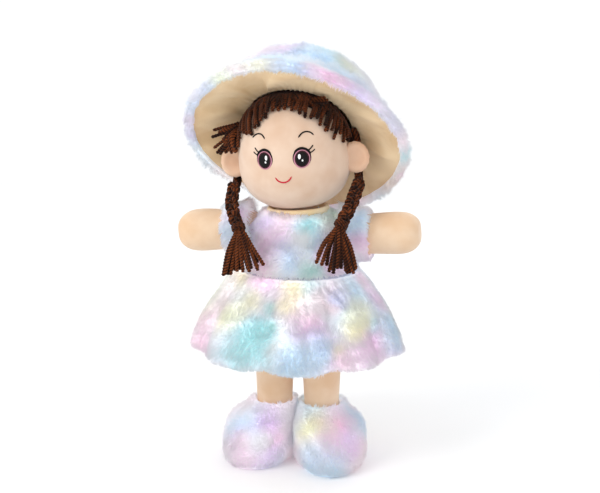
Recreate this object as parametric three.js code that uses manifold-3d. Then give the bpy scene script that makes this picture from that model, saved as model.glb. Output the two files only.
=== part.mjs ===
// A standing stuffed doll in a plush dress, with a lifted brim hat and two yarn braids.
// Millimetres, +Z up. The doll faces -Y, its left side is +X, and its soles stand on z = 0.
import * as THREE from 'three';
import { mergeVertices } from 'three/addons/utils/BufferGeometryUtils.js';
import Module from 'manifold-3d';

const wasm = await Module();
wasm.setup();

// Cloth thicknesses and the clearances between pieces
const skinThickness = 1.6;
const plushThickness = 4;
const liningThickness = 1.3;
const liningGap = 0.5;
const layerGap = 0.45;
const seamGap = 0.3;
const fillingGap = 0.7;
const ballGap = 0.35;

// Shoes, from the floor up
const soleThickness = 3.5;
const boardThickness = 1.8;
const shoeHeight = 54;
const shoeHalfWidth = 31.5;
const shoeHalfLength = 43;
const shoeForward = 14;
const shoeOutward = 9;
const toeOut = THREE.MathUtils.degToRad(9);
const soleInset = 2.5;

// Legs: each swings on a ball that is nested in the body
const legRadius = 18;
const legSpacing = 46;
const legLength = 68;
const legIntoShoe = 11;
const hipSocketDepth = 6;

// Body under the dress
const bodyHeight = 109;
const hipHalfWidth = 49;
const waistHalfWidth = 45;
const chestHalfWidth = 36;
const neckHalfWidth = 18;
const neckHole = 8;
const bodyDepth = 0.82;
const waistRise = 54;

// Dress
const bodiceWaistHalfWidth = 52;
const bodiceChestHalfWidth = 46.5;
const bodiceNeckHalfWidth = 31;
const bodiceNeckDrop = 4;
const bindingRadius = 1.8;
const bindingInset = 4;
const skirtLength = 75;
const skirtGather = 10;
const skirtHemHalfWidth = 97;
const skirtHemDepth = 0.95;
const skirtFolds = 9;
const foldDepth = 4.5;
const hemWave = 1.2;

// Arms and sleeves: the left arm is held a little up and the right one a little down
const armRadius = 19;
const armLength = 64;
const shoulderDrop = 23;
const shoulderSocketDepth = 4.5;
const sleeveLength = 17;
const sleeveRadius = 24.6;
const sleeveRim = THREE.MathUtils.degToRad(5);
const armholeGap = 0.5;
const armLean = THREE.MathUtils.degToRad(4.5);

// Head, which leans a little to the doll's right
const headLean = THREE.MathUtils.degToRad(4.5);
const neckGap = 0.8;
const headHeight = 103;
const headHalfWidth = 51.3;
const headDepth = 0.92;
const earHalfWidth = 13;
const earHalfDepth = 5;
const earHalfHeight = 14.5;
const earDrop = 7;
const earOut = 5.7;

// Hair
const hairThickness = 5;
const hairlineHeight = 66;
const hairlineSlope = THREE.MathUtils.degToRad(52);
const fringeHalfWidth = 46;
const fringeArch = 45;
const fringeFoot = 56;
const fringeThickness = 4.6;
const sideHairRadius = 6;
const sideHairBack = 13;
const sideHairTop = 8;
const braidSeatGap = 0.25;

// Braids: each hangs from a pivot under its ear and lies in front of the sleeve
const braidRadius = 7;
const braidDepth = 0.88;
const braidLobes = 6;
const braidPivot = new THREE.Vector3(59, -4, 20.5);
const braidBend = new THREE.Vector3(55.5, -26, 6.5);
const braidKnot = new THREE.Vector3(47.5, -38.5, -9.5);
const braidTail = 4.1;
const tieRadius = 2.4;
const tasselDrop = 41;
const tasselForward = 14.5;
const tasselInward = 4;
const tasselHalfWidth = 21;
const tasselHalfDepth = 6;

// Hat: a bowl on a tilted axis, with its opening facing forward and down, and a little lower on its left
const hatTilt = THREE.MathUtils.degToRad(48);
const hatRoll = THREE.MathUtils.degToRad(2);
const hatForward = 4;
const hatRise = 61;
const hatSide = -1.5;
const rimRadius = 102;
const frontBrimExtra = 1;
const brimHeight = 20;
const bandRadius = 63;
const bandTaper = 5;
const throatHeight = 26;
const throatGap = 0.5;
const throatSide = -2;
const throatBack = 7.5;
const crownRoom = 5;
const crownFlatRadius = 30;
const crownRounding = 9;
const crownPlush = 12;
const brimPlush = 6;
const brimWave = 2.5;

// Facets round each kind of piece
const bodySegments = 20;
const headSegments = 24;
const limbSegments = 16;
const shoeSegments = 20;
const hatSegments = 28;
const skirtSegments = skirtFolds * 7;

// Heights and places that follow from the sizes above
const hipHeight = shoeHeight - legIntoShoe + legLength + legRadius - hipSocketDepth - 1;
const bodyBottom = hipHeight + legRadius - hipSocketDepth;
const neckHeight = bodyBottom + bodyHeight;
const waistHeight = bodyBottom + waistRise;
const shoulderHeight = neckHeight - shoulderDrop;
const shoulderOut = chestHalfWidth + armRadius - shoulderSocketDepth;

// A vertex list with shared corners, no zero-size triangles and its faces pointing out
function closed(source) {
  const bare = new THREE.BufferGeometry();
  bare.setAttribute('position', source.getAttribute('position'));
  if (source.index) bare.setIndex(source.index);
  const geometry = mergeVertices(bare, 1e-4);
  const index = geometry.index.array;
  const position = geometry.getAttribute('position');
  const kept = [];
  let volume = 0;
  const corner = [new THREE.Vector3(), new THREE.Vector3(), new THREE.Vector3()];
  for (let i = 0; i < index.length; i += 3) {
    const [a, b, c] = [index[i], index[i + 1], index[i + 2]];
    if (a === b || b === c || c === a) continue;
    kept.push(a, b, c);
    corner[0].fromBufferAttribute(position, a);
    corner[1].fromBufferAttribute(position, b);
    corner[2].fromBufferAttribute(position, c);
    volume += corner[0].dot(corner[1].cross(corner[2]));
  }
  if (volume < 0) kept.reverse();
  geometry.setIndex(kept);
  return geometry;
}

function toSolid(source) {
  const geometry = closed(source);
  return new wasm.Manifold(new wasm.Mesh({
    numProp: 3,
    vertProperties: new Float32Array(geometry.getAttribute('position').array),
    triVerts: new Uint32Array(geometry.index.array),
  }));
}

function fromSolid(solid) {
  const mesh = solid.getMesh();
  const geometry = new THREE.BufferGeometry();
  geometry.setAttribute('position', new THREE.BufferAttribute(mesh.vertProperties, 3));
  geometry.setIndex(new THREE.BufferAttribute(mesh.triVerts, 1));
  return geometry;
}

// Smooth outlines are pairs of radius and height, from the bottom up
function outline(points, steps) {
  const curve = new THREE.SplineCurve(points.map(([r, z]) => new THREE.Vector2(r, z)));
  const smooth = curve.getPoints(steps);
  smooth.forEach((point) => { point.x = Math.max(point.x, 0); });
  return smooth;
}

// The same outline moved along its normal: a positive distance moves it out
function offset(points, distance) {
  return points.map((point, i) => {
    const before = points[Math.max(i - 1, 0)];
    const after = points[Math.min(i + 1, points.length - 1)];
    const along = after.clone().sub(before).normalize();
    const moved = new THREE.Vector2(point.x + along.y * distance, point.y - along.x * distance);
    if (point.x === 0) moved.x = 0;
    moved.x = Math.max(moved.x, 0);
    return moved;
  });
}

// Every second point of an outline, and its last, for surfaces that are out of sight
function coarse(points) {
  return points.filter((point, i) => i % 2 === 0 || i === points.length - 1);
}

function revolve(points, segments, depth = 1) {
  return new THREE.LatheGeometry(points, segments).rotateX(Math.PI / 2).scale(1, depth, 1);
}

// A closed bag between an outline that ends on the axis and the same outline moved in
function bag(points, thickness, segments, depth = 1) {
  const inner = coarse(offset(points, -thickness)).reverse();
  return revolve([...inner, ...points], segments, depth);
}

// What fills a bag: the outline moved in, closed at its flat bottom, with half the facets round it
function filling(points, segments, depth = 1) {
  const inner = coarse(offset(points, -(skinThickness + fillingGap)));
  return revolve([new THREE.Vector2(0, inner[0].y), ...inner], segments / 2, depth);
}

// A faceted ball whose flat faces, not its corners, lie at the radius
function ball(radius, x, y, z, segments = 12) {
  const corners = radius / Math.cos(Math.PI / segments) ** 2;
  return toSolid(new THREE.SphereGeometry(corners, segments, segments / 2).translate(x, y, z));
}

// Rings of points joined into one closed body, either capped at both ends or joined end to end
function loft(rings, joined = false) {
  const count = rings[0].length;
  const points = rings.flat();
  const index = [];
  const last = joined ? rings.length : rings.length - 1;
  for (let i = 0; i < last; i += 1) {
    const low = i * count;
    const high = ((i + 1) % rings.length) * count;
    for (let j = 0; j < count; j += 1) {
      const next = (j + 1) % count;
      index.push(low + j, low + next, high + next, low + j, high + next, high + j);
    }
  }
  if (!joined) {
    [0, rings.length - 1].forEach((i) => {
      const centre = new THREE.Vector3();
      rings[i].forEach((point) => centre.add(point));
      points.push(centre.divideScalar(count));
      const middle = points.length - 1;
      for (let j = 0; j < count; j += 1) {
        const [a, b] = [i * count + j, i * count + ((j + 1) % count)];
        if (i === 0) index.push(middle, b, a);
        else index.push(middle, a, b);
      }
    });
  }
  const geometry = new THREE.BufferGeometry().setFromPoints(points);
  geometry.setIndex(index);
  return closed(geometry);
}

// A flat oval ring of points, turned about Z by a toe angle
function oval(halfWidth, halfLength, centreX, centreY, z, turn = 0, segments = shoeSegments) {
  const ring = [];
  for (let i = 0; i < segments; i += 1) {
    const angle = (i / segments) * 2 * Math.PI;
    const point = new THREE.Vector3(halfWidth * Math.cos(angle), halfLength * Math.sin(angle), 0);
    point.add(new THREE.Vector3(centreX, centreY, 0));
    point.applyAxisAngle(new THREE.Vector3(0, 0, 1), turn);
    ring.push(point.setZ(z));
  }
  return ring;
}

// Rings across a curve, each with its own half width along X and half depth across it
function sweep(curve, steps, sides, halfWidth, halfDepth) {
  const rings = [];
  for (let i = 0; i <= steps; i += 1) {
    const t = i / steps;
    const centre = curve.getPointAt(t);
    const along = curve.getTangentAt(t);
    const across = new THREE.Vector3(0, -1, 0).cross(along).normalize();
    const front = along.clone().cross(across).normalize();
    const ring = [];
    for (let j = 0; j < sides; j += 1) {
      const angle = (j / sides) * 2 * Math.PI;
      const point = centre.clone();
      point.addScaledVector(across, halfWidth(t, angle) * Math.cos(angle));
      point.addScaledVector(front, halfDepth(t, angle) * Math.sin(angle));
      ring.push(point);
    }
    rings.push(ring);
  }
  return loft(rings);
}

function colour(hex, roughness) {
  return new THREE.MeshStandardMaterial({ color: hex, roughness, metalness: 0 });
}

const cotton = colour(0xf0d4b8, 0.85);
const limbCotton = colour(0xf0cfa6, 0.85);
const fibre = colour(0xf7f5ef, 1);
const plushPink = colour(0xf0d3e4, 1);
const plushLilac = colour(0xe3d0ea, 1);
const plushBlue = colour(0xc9e0f0, 1);
const lining = colour(0xe9cb9e, 0.9);
const yarn = colour(0x4a2614, 0.95);
const card = colour(0xb9a184, 0.8);

function piece(name, geometry, material) {
  geometry.computeVertexNormals();
  const mesh = new THREE.Mesh(geometry, material);
  mesh.name = name;
  return mesh;
}

// Body: a sewn cotton bag with its filling, dimpled where the balls of the limbs nest

const bodyOutline = outline([
  [0, bodyBottom],
  [hipHalfWidth * 0.7, bodyBottom + 0.8],
  [hipHalfWidth * 0.96, bodyBottom + 12],
  [hipHalfWidth, bodyBottom + 26],
  [waistHalfWidth, waistHeight],
  [chestHalfWidth + 1, waistHeight + 13],
  [chestHalfWidth, shoulderHeight],
  [chestHalfWidth - 3, neckHeight - 12],
  [neckHalfWidth + 6, neckHeight - 5],
  [neckHalfWidth, neckHeight - 1],
  [0, neckHeight],
], 14);

const joints = [1, -1].flatMap((side) => [
  { x: side * shoulderOut, z: shoulderHeight, radius: armRadius },
  { x: side * legSpacing / 2, z: hipHeight, radius: legRadius },
]);

// The body's outline moved in or out, with each socket's wall moved the same way
function bodySolid(distance, segments = bodySegments) {
  const points = offset(bodyOutline, distance);
  let solid = toSolid(revolve(points, segments, bodyDepth));
  joints.forEach(({ x, z, radius }) => {
    solid = solid.subtract(ball(radius + ballGap - distance, x, 0, z));
  });
  return solid;
}

function bodyPieces() {
  const hole = new THREE.CylinderGeometry(neckHole, neckHole, bodyHeight / 2, limbSegments)
    .rotateX(Math.PI / 2).translate(0, 0, neckHeight);
  const hollow = bodySolid(-skinThickness).add(toSolid(hole));
  return [
    piece('body_skin', fromSolid(bodySolid(0).subtract(hollow)), cotton),
    piece('body_filling', fromSolid(bodySolid(-skinThickness - fillingGap, bodySegments / 2)), fibre),
  ];
}

// Bodice: plush from waist to neck, open for the neck and for each sleeve
function bodice() {
  const bottom = waistHeight + seamGap / 2;
  const top = neckHeight - bodiceNeckDrop;
  const side = outline([
    [bodiceWaistHalfWidth, bottom],
    [(bodiceWaistHalfWidth + bodiceChestHalfWidth) / 2, bottom + 8],
    [bodiceChestHalfWidth, shoulderHeight - 12],
    [bodiceChestHalfWidth, shoulderHeight + 2],
    [bodiceChestHalfWidth - 5, shoulderHeight + 12],
    [bodiceNeckHalfWidth, top],
  ], 8);
  const profile = [new THREE.Vector2(0, bottom), ...side, new THREE.Vector2(0, top)];
  let solid = toSolid(revolve(profile, bodySegments, bodyDepth));
  solid = solid.subtract(toSolid(revolve(offset(bodyOutline, layerGap), bodySegments, bodyDepth)));
  [1, -1].forEach((turn) => {
    solid = solid.subtract(ball(sleeveRadius + armholeGap, turn * shoulderOut, 0, shoulderHeight));
  });
  return piece('bodice', fromSolid(solid), plushLilac);
}

// Neck binding: a rolled strip on the bodice's upper edge
function neckBinding() {
  const ring = bodiceNeckHalfWidth - bindingInset;
  const geometry = new THREE.TorusGeometry(ring, bindingRadius, 5, bodySegments)
    .scale(1, bodyDepth, 1)
    .translate(0, 0, neckHeight - bodiceNeckDrop + seamGap + bindingRadius);
  return piece('neck_binding', closed(geometry), lining);
}

// Skirt: a bell of gathered plush whose folds deepen towards the hem
function skirt() {
  const topHalfWidth = waistHalfWidth + layerGap + skirtGather;
  const flare = (t) => Math.sin(t * 1.25) / Math.sin(1.25);
  const ring = (t, inset) => {
    const points = [];
    const depth = THREE.MathUtils.lerp(bodyDepth, skirtHemDepth, t);
    const smooth = THREE.MathUtils.lerp(topHalfWidth, skirtHemHalfWidth, flare(t));
    for (let i = 0; i < skirtSegments; i += 1) {
      const angle = (i / skirtSegments) * 2 * Math.PI;
      const fold = Math.cos(skirtFolds * angle + 0.9 * Math.sin(2 * angle + 1));
      const radius = smooth - inset + foldDepth * t * fold;
      const drop = skirtLength * t + hemWave * t * t * fold;
      const z = waistHeight - seamGap / 2 - drop;
      points.push(new THREE.Vector3(radius * Math.cos(angle), depth * radius * Math.sin(angle), z));
    }
    return points;
  };
  const steps = 5;
  const outside = [];
  const inside = [];
  for (let i = 0; i <= steps; i += 1) {
    const t = i / steps;
    outside.push(ring(t, 0));
    inside.unshift(ring(t, THREE.MathUtils.lerp(skirtGather, plushThickness, Math.min(t * 3, 1))));
  }
  return piece('skirt', loft([...outside, ...inside], true), plushPink);
}

// Leg with its shoe, hung from the hip ball at its group's origin
function leg(name, side) {
  const group = new THREE.Group();
  group.position.set(side * legSpacing / 2, 0, hipHeight);
  const floor = -hipHeight;
  const ankle = floor + shoeHeight - legIntoShoe;
  const legOutline = outline([
    [legRadius - 2, ankle],
    [legRadius - 1.2, ankle + legIntoShoe],
    [legRadius, ankle + legLength * 0.6],
    [legRadius, 0],
    [legRadius * Math.cos(0.6), legRadius * Math.sin(0.6)],
    [legRadius * Math.cos(1.15), legRadius * Math.sin(1.15)],
    [0, legRadius],
  ], 8);
  group.add(piece(`${name}_leg_skin`, closed(bag(legOutline, skinThickness, limbSegments)), limbCotton));
  group.add(piece(`${name}_leg_filling`, closed(filling(legOutline, limbSegments)), fibre));

  // Shoe rings as half width, half length, forward shift and height above the floor
  const turn = side * toeOut;
  const shoeOut = (shift) => shoeOutward * shift / shoeForward * side;
  const section = ([wide, long, shift, height], inset) => oval(
    wide - inset, long - inset, shoeOut(shift), -shift, floor + height, turn,
  );
  const collar = legRadius - 1.2 + layerGap;
  const upperBottom = soleThickness + seamGap;
  const sections = [
    [shoeHalfWidth - soleInset, shoeHalfLength - soleInset, shoeForward, upperBottom],
    [shoeHalfWidth - 0.5, shoeHalfLength - 0.5, shoeForward, upperBottom + 5],
    [shoeHalfWidth, shoeHalfLength, shoeForward, shoeHeight * 0.3],
    [shoeHalfWidth - 1, shoeHalfLength - 3, shoeForward * 0.85, shoeHeight * 0.5],
    [shoeHalfWidth - 3.5, shoeHalfLength - 11, shoeForward * 0.5, shoeHeight * 0.72],
    [collar + plushThickness + 1.5, collar + plushThickness + 3, shoeForward * 0.15, shoeHeight * 0.88],
    [collar + plushThickness - 1, collar + plushThickness - 1, 0, shoeHeight],
  ];
  const outside = sections.map((values) => section(values, 0));
  const inside = sections.slice(0, -2).map((values) => section(values, plushThickness));
  inside.push(section([collar, collar, 0, shoeHeight * 0.86], 0), section([collar, collar, 0, shoeHeight], 0));
  group.add(piece(`${name}_shoe_upper`, loft([...outside, ...inside.reverse()], true),
    side > 0 ? plushBlue : plushPink));

  const sole = [0, soleThickness].map((height) => section(
    [shoeHalfWidth - soleInset, shoeHalfLength - soleInset, shoeForward, height], 0.2,
  ));
  group.add(piece(`${name}_shoe_sole`, loft(sole), plushLilac));
  const boardInset = plushThickness + layerGap;
  const board = [upperBottom, upperBottom + boardThickness].map((height) => section(
    [shoeHalfWidth - soleInset, shoeHalfLength - soleInset, shoeForward, height], boardInset,
  ));
  group.add(piece(`${name}_sole_board`, loft(board), card));

  const fillTop = shoeHeight - legIntoShoe - seamGap;
  const fillInset = plushThickness + fillingGap;
  const fill = [
    section([shoeHalfWidth - soleInset, shoeHalfLength - soleInset, shoeForward,
      upperBottom + boardThickness + seamGap], fillInset),
    section([shoeHalfWidth - 1, shoeHalfLength - 1, shoeForward, shoeHeight * 0.3], fillInset),
    section([shoeHalfWidth - 1, shoeHalfLength - 3, shoeForward * 0.85, shoeHeight * 0.5], fillInset),
    section([shoeHalfWidth - 3.5, shoeHalfLength - 11, shoeForward * 0.5, shoeHeight * 0.72], fillInset + 0.5),
    section([collar - 1, collar - 1, 0, fillTop], 0),
  ];
  group.add(piece(`${name}_shoe_filling`, loft(fill), fibre));
  return group;
}

// Arm with its sleeve, reaching out from the shoulder ball at its group's origin
function arm(name, side) {
  const group = new THREE.Group();
  group.position.set(side * shoulderOut, 0, shoulderHeight);
  group.rotation.y = side * Math.PI / 2 - armLean;
  const ballFrom = 1.15;
  // The outline runs from the open end in the shoulder to the rounded hand
  const armOutline = outline([
    [armRadius * Math.cos(ballFrom), -armRadius * Math.sin(ballFrom)],
    [armRadius * Math.cos(0.55), -armRadius * Math.sin(0.55)],
    [armRadius, 0],
    [armRadius - 0.4, sleeveLength],
    [armRadius + 0.7, armLength * 0.66],
    [armRadius - 1.5, armLength * 0.86],
    [armRadius - 8.5, armLength - 1.2],
    [0, armLength],
  ], 11);
  group.add(piece(`${name}_arm_skin`, closed(bag(armOutline, skinThickness, limbSegments)), limbCotton));
  group.add(piece(`${name}_arm_filling`, closed(filling(armOutline, limbSegments)), fibre));

  // The sleeve puffs round the shoulder ball and closes on the arm at its cuff
  const inner = armRadius + layerGap;
  const puff = (angle) => [sleeveRadius * Math.cos(angle), sleeveRadius * Math.sin(angle)];
  const sleeve = [
    [inner * Math.cos(sleeveRim), -inner * Math.sin(sleeveRim)],
    [inner, 0],
    [inner, sleeveLength],
    [inner + 1.8, sleeveLength],
    [sleeveRadius - 1.7, sleeveLength * 0.8],
    puff(0.36),
    puff(0),
    puff(-sleeveRim),
    [inner * Math.cos(sleeveRim), -inner * Math.sin(sleeveRim)],
  ].map(([r, s]) => new THREE.Vector2(r, s));
  group.add(piece(`${name}_sleeve`, closed(revolve(sleeve, bodySegments)), plushLilac));
  return group;
}

// Head: everything below is measured from the neck seam

const headOutline = outline([
  [neckHole, neckGap],
  [headHalfWidth * 0.5, 3.8],
  [headHalfWidth * 0.8, headHeight * 0.135],
  [headHalfWidth * 0.965, headHeight * 0.28],
  [headHalfWidth, headHeight * 0.43],
  [headHalfWidth * 0.965, headHeight * 0.6],
  [headHalfWidth * 0.84, headHeight * 0.77],
  [headHalfWidth * 0.6, headHeight * 0.91],
  [headHalfWidth * 0.3, headHeight * 0.983],
  [0, headHeight],
], 14);

function headSolid(distance) {
  const points = offset(headOutline, distance);
  return toSolid(revolve([new THREE.Vector2(0, points[0].y), ...points], headSegments, headDepth));
}

// A half space in front of and below the hairline, which rises from the nape to the forehead
function belowHairline(distance) {
  const size = headHeight * 4;
  const half = new THREE.BoxGeometry(size, size, size).translate(0, 0, -size / 2 + distance);
  return toSolid(half.rotateX(-hairlineSlope).translate(0, 0, hairlineHeight));
}

const hairCap = headSolid(layerGap + hairThickness).subtract(headSolid(layerGap)).subtract(belowHairline(0));

// The fringe arches over the face, from the hairline down to the temples
function fringe() {
  const size = headHeight * 2;
  const face = new THREE.CylinderGeometry(1, 1, size, 32)
    .scale(fringeHalfWidth, 1, fringeArch)
    .translate(0, 0, headHeight * 0.43);
  const behind = new THREE.BoxGeometry(size, size, size).translate(0, size / 2 - fringeThickness, 0);
  const under = new THREE.BoxGeometry(size, size, size).translate(0, 0, fringeFoot - size / 2);
  return headSolid(layerGap + fringeThickness)
    .subtract(headSolid(layerGap))
    .intersect(belowHairline(-seamGap))
    .subtract(toSolid(face))
    .subtract(toSolid(behind))
    .subtract(toSolid(under));
}

function earShape(side, grow) {
  return toSolid(new THREE.SphereGeometry(1, 12, 8)
    .scale(earHalfWidth + grow, earHalfDepth + grow, earHalfHeight + grow)
    .translate(side * (headHalfWidth + earOut), 0, headHeight / 2 - earDrop));
}

function ear(side) {
  return earShape(side, 0).subtract(headSolid(layerGap));
}

// A bundle of yarn that runs down behind the ear and ends in a hollow round the braid's top
function sideHair(side) {
  const top = headHeight / 2 + sideHairTop;
  const out = headHalfWidth + sideHairRadius - 1.2;
  const points = [
    new THREE.Vector3(side * out, sideHairBack, top),
    new THREE.Vector3(side * out, sideHairBack, headHeight / 2 - earDrop),
    new THREE.Vector3(side * (braidPivot.x - 1), braidPivot.y + 9.5, braidPivot.z + 4),
    new THREE.Vector3(side * braidPivot.x, braidPivot.y + 1, braidPivot.z),
  ];
  const round = () => sideHairRadius;
  const geometry = sweep(new THREE.CatmullRomCurve3(points), 7, 10, round, round);
  const hollowRadius = braidDepth * braidRadius + braidSeatGap;
  const hollow = new THREE.SphereGeometry(1, 14, 10)
    .scale(braidRadius + layerGap, hollowRadius, hollowRadius)
    .translate(side * braidPivot.x, braidPivot.y, braidPivot.z);
  const under = new THREE.BoxGeometry(40, 40, 40)
    .translate(side * braidPivot.x, braidPivot.y - 20, braidPivot.z);
  return toSolid(geometry).subtract(headSolid(layerGap)).subtract(hairCap)
    .subtract(earShape(side, layerGap)).subtract(toSolid(hollow)).subtract(toSolid(under));
}

// Braid, tie and tassel, hung from the pivot under the ear
function braid(name, side) {
  const place = (point) => new THREE.Vector3(side * point.x, point.y, point.z);
  const group = new THREE.Group();
  const pivot = place(braidPivot);
  group.position.copy(pivot);
  const knot = place(braidKnot).sub(pivot);
  const path = new THREE.CatmullRomCurve3([new THREE.Vector3(0, 0, braidRadius * 0.72),
    new THREE.Vector3(0, -1, 0), place(braidBend).sub(pivot), knot]);
  const bulge = (t) => {
    const lobe = 0.86 + 0.14 * Math.abs(Math.sin(Math.PI * braidLobes * t));
    const tail = Math.min(1, braidTail / braidRadius + 6 * Math.max(0, 0.94 - t));
    return braidRadius * lobe * tail * Math.min(1, 0.55 + 5 * t);
  };
  group.add(piece(`${name}_braid`, sweep(path, braidLobes * 4, 8, bulge, (t) => braidDepth * bulge(t)), yarn));

  const down = path.getTangentAt(1);
  const upright = new THREE.Quaternion().setFromUnitVectors(new THREE.Vector3(0, 0, -1), down);
  const tie = new THREE.TorusGeometry(braidTail + layerGap + tieRadius, tieRadius, 5, 12)
    .applyQuaternion(upright).translate(knot.x, knot.y, knot.z);
  group.add(piece(`${name}_braid_tie`, closed(tie), yarn));

  const start = knot.clone().addScaledVector(down, seamGap);
  const neck = knot.clone().addScaledVector(down, tieRadius + 2);
  const end = new THREE.Vector3(knot.x - side * tasselInward, knot.y - tasselForward, knot.z - tasselDrop);
  const middle = neck.clone().lerp(end, 0.5).add(new THREE.Vector3(0, -2.5, 0));
  const spread = (t) => THREE.MathUtils.smoothstep(t, 0.08, 1);
  const flute = (angle) => 1 + 0.06 * Math.cos(8 * angle);
  const wide = (t, angle) => THREE.MathUtils.lerp(braidTail, tasselHalfWidth * flute(angle), spread(t));
  const deep = (t) => THREE.MathUtils.lerp(braidTail, tasselHalfDepth, spread(t));
  const tasselPath = new THREE.CatmullRomCurve3([start, neck, middle, end]);
  group.add(piece(`${name}_tassel`, sweep(tasselPath, 7, 16, wide, deep), yarn));
  return group;
}

// Hat: its profiles are radius and height above the rim, on its own tilted axis

const hatCentre = new THREE.Vector3(hatSide, -hatForward, neckHeight + hatRise);
const hatTurn = new THREE.Euler(-hatTilt, hatRoll, 0, 'YXZ');
const hatAxis = new THREE.Vector3(0, 0, 1).applyEuler(hatTurn);

// The hair's points in the hat's own frame, three to a facet
function hairInHat() {
  const { vertProperties, triVerts } = hairCap.getMesh();
  const points = [];
  for (let i = 0; i < vertProperties.length; i += 3) {
    const point = new THREE.Vector3(...vertProperties.slice(i, i + 3));
    point.applyAxisAngle(new THREE.Vector3(0, 1, 0), -headLean).add(new THREE.Vector3(0, 0, neckHeight));
    point.sub(hatCentre).applyMatrix4(new THREE.Matrix4().makeRotationFromEuler(hatTurn).invert());
    points.push(point);
  }
  return Array.from(triVerts, (index) => points[index]);
}
const hairPoints = hairInHat();

// How far the hair reaches along the hat's axis, which is what the crown has to clear
const hairReach = Math.max(...hairPoints.map((point) => point.z));

// The throat closes round the hair: the widest that the hair is there, a gap, and what flat facets take away
function hairGirth() {
  let girth = 0;
  hairPoints.forEach((from, i) => {
    const to = hairPoints[i % 3 === 2 ? i - 2 : i + 1];
    const share = (throatHeight - from.z) / (to.z - from.z);
    if (share >= 0 && share <= 1) {
      const at = from.clone().lerp(to, share);
      girth = Math.max(girth, Math.hypot(at.x - throatSide, at.y - throatBack));
    }
  });
  return girth;
}
const throatRadius = (hairGirth() + throatGap) / Math.cos(Math.PI / hatSegments);

// The soft brim is wider in front and waves a little round its rim. Inside the band its lining closes on the hair.
function shapeBrim(geometry) {
  const position = geometry.getAttribute('position');
  const start = bandRadius + brimPlush * 2;
  for (let i = 0; i < position.count; i += 1) {
    const [x, y, z] = [position.getX(i), position.getY(i), position.getZ(i)];
    const radius = Math.hypot(x, y);
    const angle = Math.atan2(x, -y);
    const reach = Math.max(0, (radius - start) / (rimRadius - start)) ** 2;
    const wider = 1 + frontBrimExtra / rimRadius * Math.cos(angle) * reach;
    const closing = Math.max(0, (bandRadius - radius) / (bandRadius - throatRadius));
    position.setXYZ(
      i,
      x * wider + throatSide * closing,
      y * wider + throatBack * closing,
      z + brimWave * reach * Math.cos(3 * angle + 0.6),
    );
  }
  return geometry;
}

function hat() {
  const group = new THREE.Group();
  group.position.copy(hatCentre);
  group.rotation.copy(hatTurn);
  const seat = hairReach + seamGap + crownRoom;
  const bandTop = seat - crownRounding;
  const pair = ([r, a]) => new THREE.Vector2(r, a);

  // The brim rises from its rolled rim to the band
  const brimInside = [
    [rimRadius - brimPlush, 1.2],
    [bandRadius + 22, brimHeight * 0.36],
    [bandRadius + 11, brimHeight * 0.7],
    [bandRadius, brimHeight],
  ].map(pair);
  const liningInside = [...brimInside, pair([throatRadius, throatHeight])];
  const brimLining = offset(liningInside, liningThickness);
  const brimBottom = offset(brimInside, liningThickness + liningGap);
  const brimTop = offset(brimInside, liningThickness + liningGap + brimPlush).slice(1);
  const roll = [[rimRadius - brimPlush + 0.3, -1.2], [rimRadius - 1.5, -1.5], [rimRadius, 2]].map(pair);
  const loop = (inside, outside) => [...outside, ...[...inside].reverse(), outside[0]];
  const liningLoop = loop(liningInside, brimLining);
  const plushLoop = loop(brimBottom, [...roll, ...brimTop]);
  group.add(piece('hat_brim_lining', closed(shapeBrim(revolve(liningLoop, hatSegments))), lining));
  group.add(piece('hat_brim', closed(shapeBrim(revolve(plushLoop, hatSegments))), plushBlue));

  // The crown's lining starts over the brim's lining, and its plush stands on the brim
  const crownInside = outline([
    [bandRadius - liningThickness - seamGap, brimHeight + 4],
    [bandRadius - 3, (brimHeight + bandTop) / 2 + 1],
    [bandRadius - bandTaper, bandTop + 1],
    [crownFlatRadius + 12, seat - 1.6],
    [crownFlatRadius, seat],
  ], 5).concat(pair([0, seat]));
  const [outer, inner] = brimTop.slice(-2);
  const brimTopAt = (radius) => inner.y + (radius - inner.x) * (outer.y - inner.y) / (outer.x - inner.x);
  const onBrim = (point) => pair([point.x, brimTopAt(point.x) + seamGap + 0.2]);
  const crownPlushInside = offset(crownInside, liningThickness + seamGap);
  // The plush is padded at the top of the crown and as thin as the brim at the band
  const crownOutside = crownInside.map((point, i) => {
    const padded = THREE.MathUtils.lerp(brimPlush, crownPlush, Math.min(i / 3, 1));
    return offset(crownInside, liningThickness + seamGap + padded)[i];
  });
  crownPlushInside[0] = onBrim(crownPlushInside[0]);
  crownOutside[0] = onBrim(crownOutside[0]);
  const layer = (inside, outside) => closed(revolve([...inside].reverse().concat(outside), hatSegments));
  group.add(piece('hat_crown_lining', layer(crownInside, offset(crownInside, liningThickness)), lining));
  group.add(piece('hat_crown', layer(crownPlushInside, crownOutside), plushPink));
  return group;
}

function head() {
  const group = new THREE.Group();
  group.position.z = neckHeight;
  group.rotation.y = -headLean;
  group.add(piece('head_skin', closed(bag(headOutline, skinThickness, headSegments, headDepth)), cotton));
  group.add(piece('head_filling', closed(filling(headOutline, headSegments, headDepth)), fibre));
  group.add(piece('hair_cap', fromSolid(hairCap), yarn));
  group.add(piece('fringe', fromSolid(fringe()), yarn));
  [['left', 1], ['right', -1]].forEach(([name, side]) => {
    group.add(piece(`${name}_ear`, fromSolid(ear(side)), cotton));
    group.add(piece(`${name}_side_hair`, fromSolid(sideHair(side)), yarn));
    group.add(braid(name, side));
  });
  return group;
}

const doll = new THREE.Group();
doll.add(...bodyPieces(), bodice(), neckBinding(), skirt());
[['left', 1], ['right', -1]].forEach(([name, side]) => {
  doll.add(leg(name, side), arm(name, side));
});
doll.add(head(), hat());

export default doll;
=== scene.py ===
# A standing plush doll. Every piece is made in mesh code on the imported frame, in metres.
import bpy
import math
import numpy as np
from mathutils import Euler, Matrix, Vector
from mathutils.bvhtree import BVHTree
from mathutils.kdtree import KDTree


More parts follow.
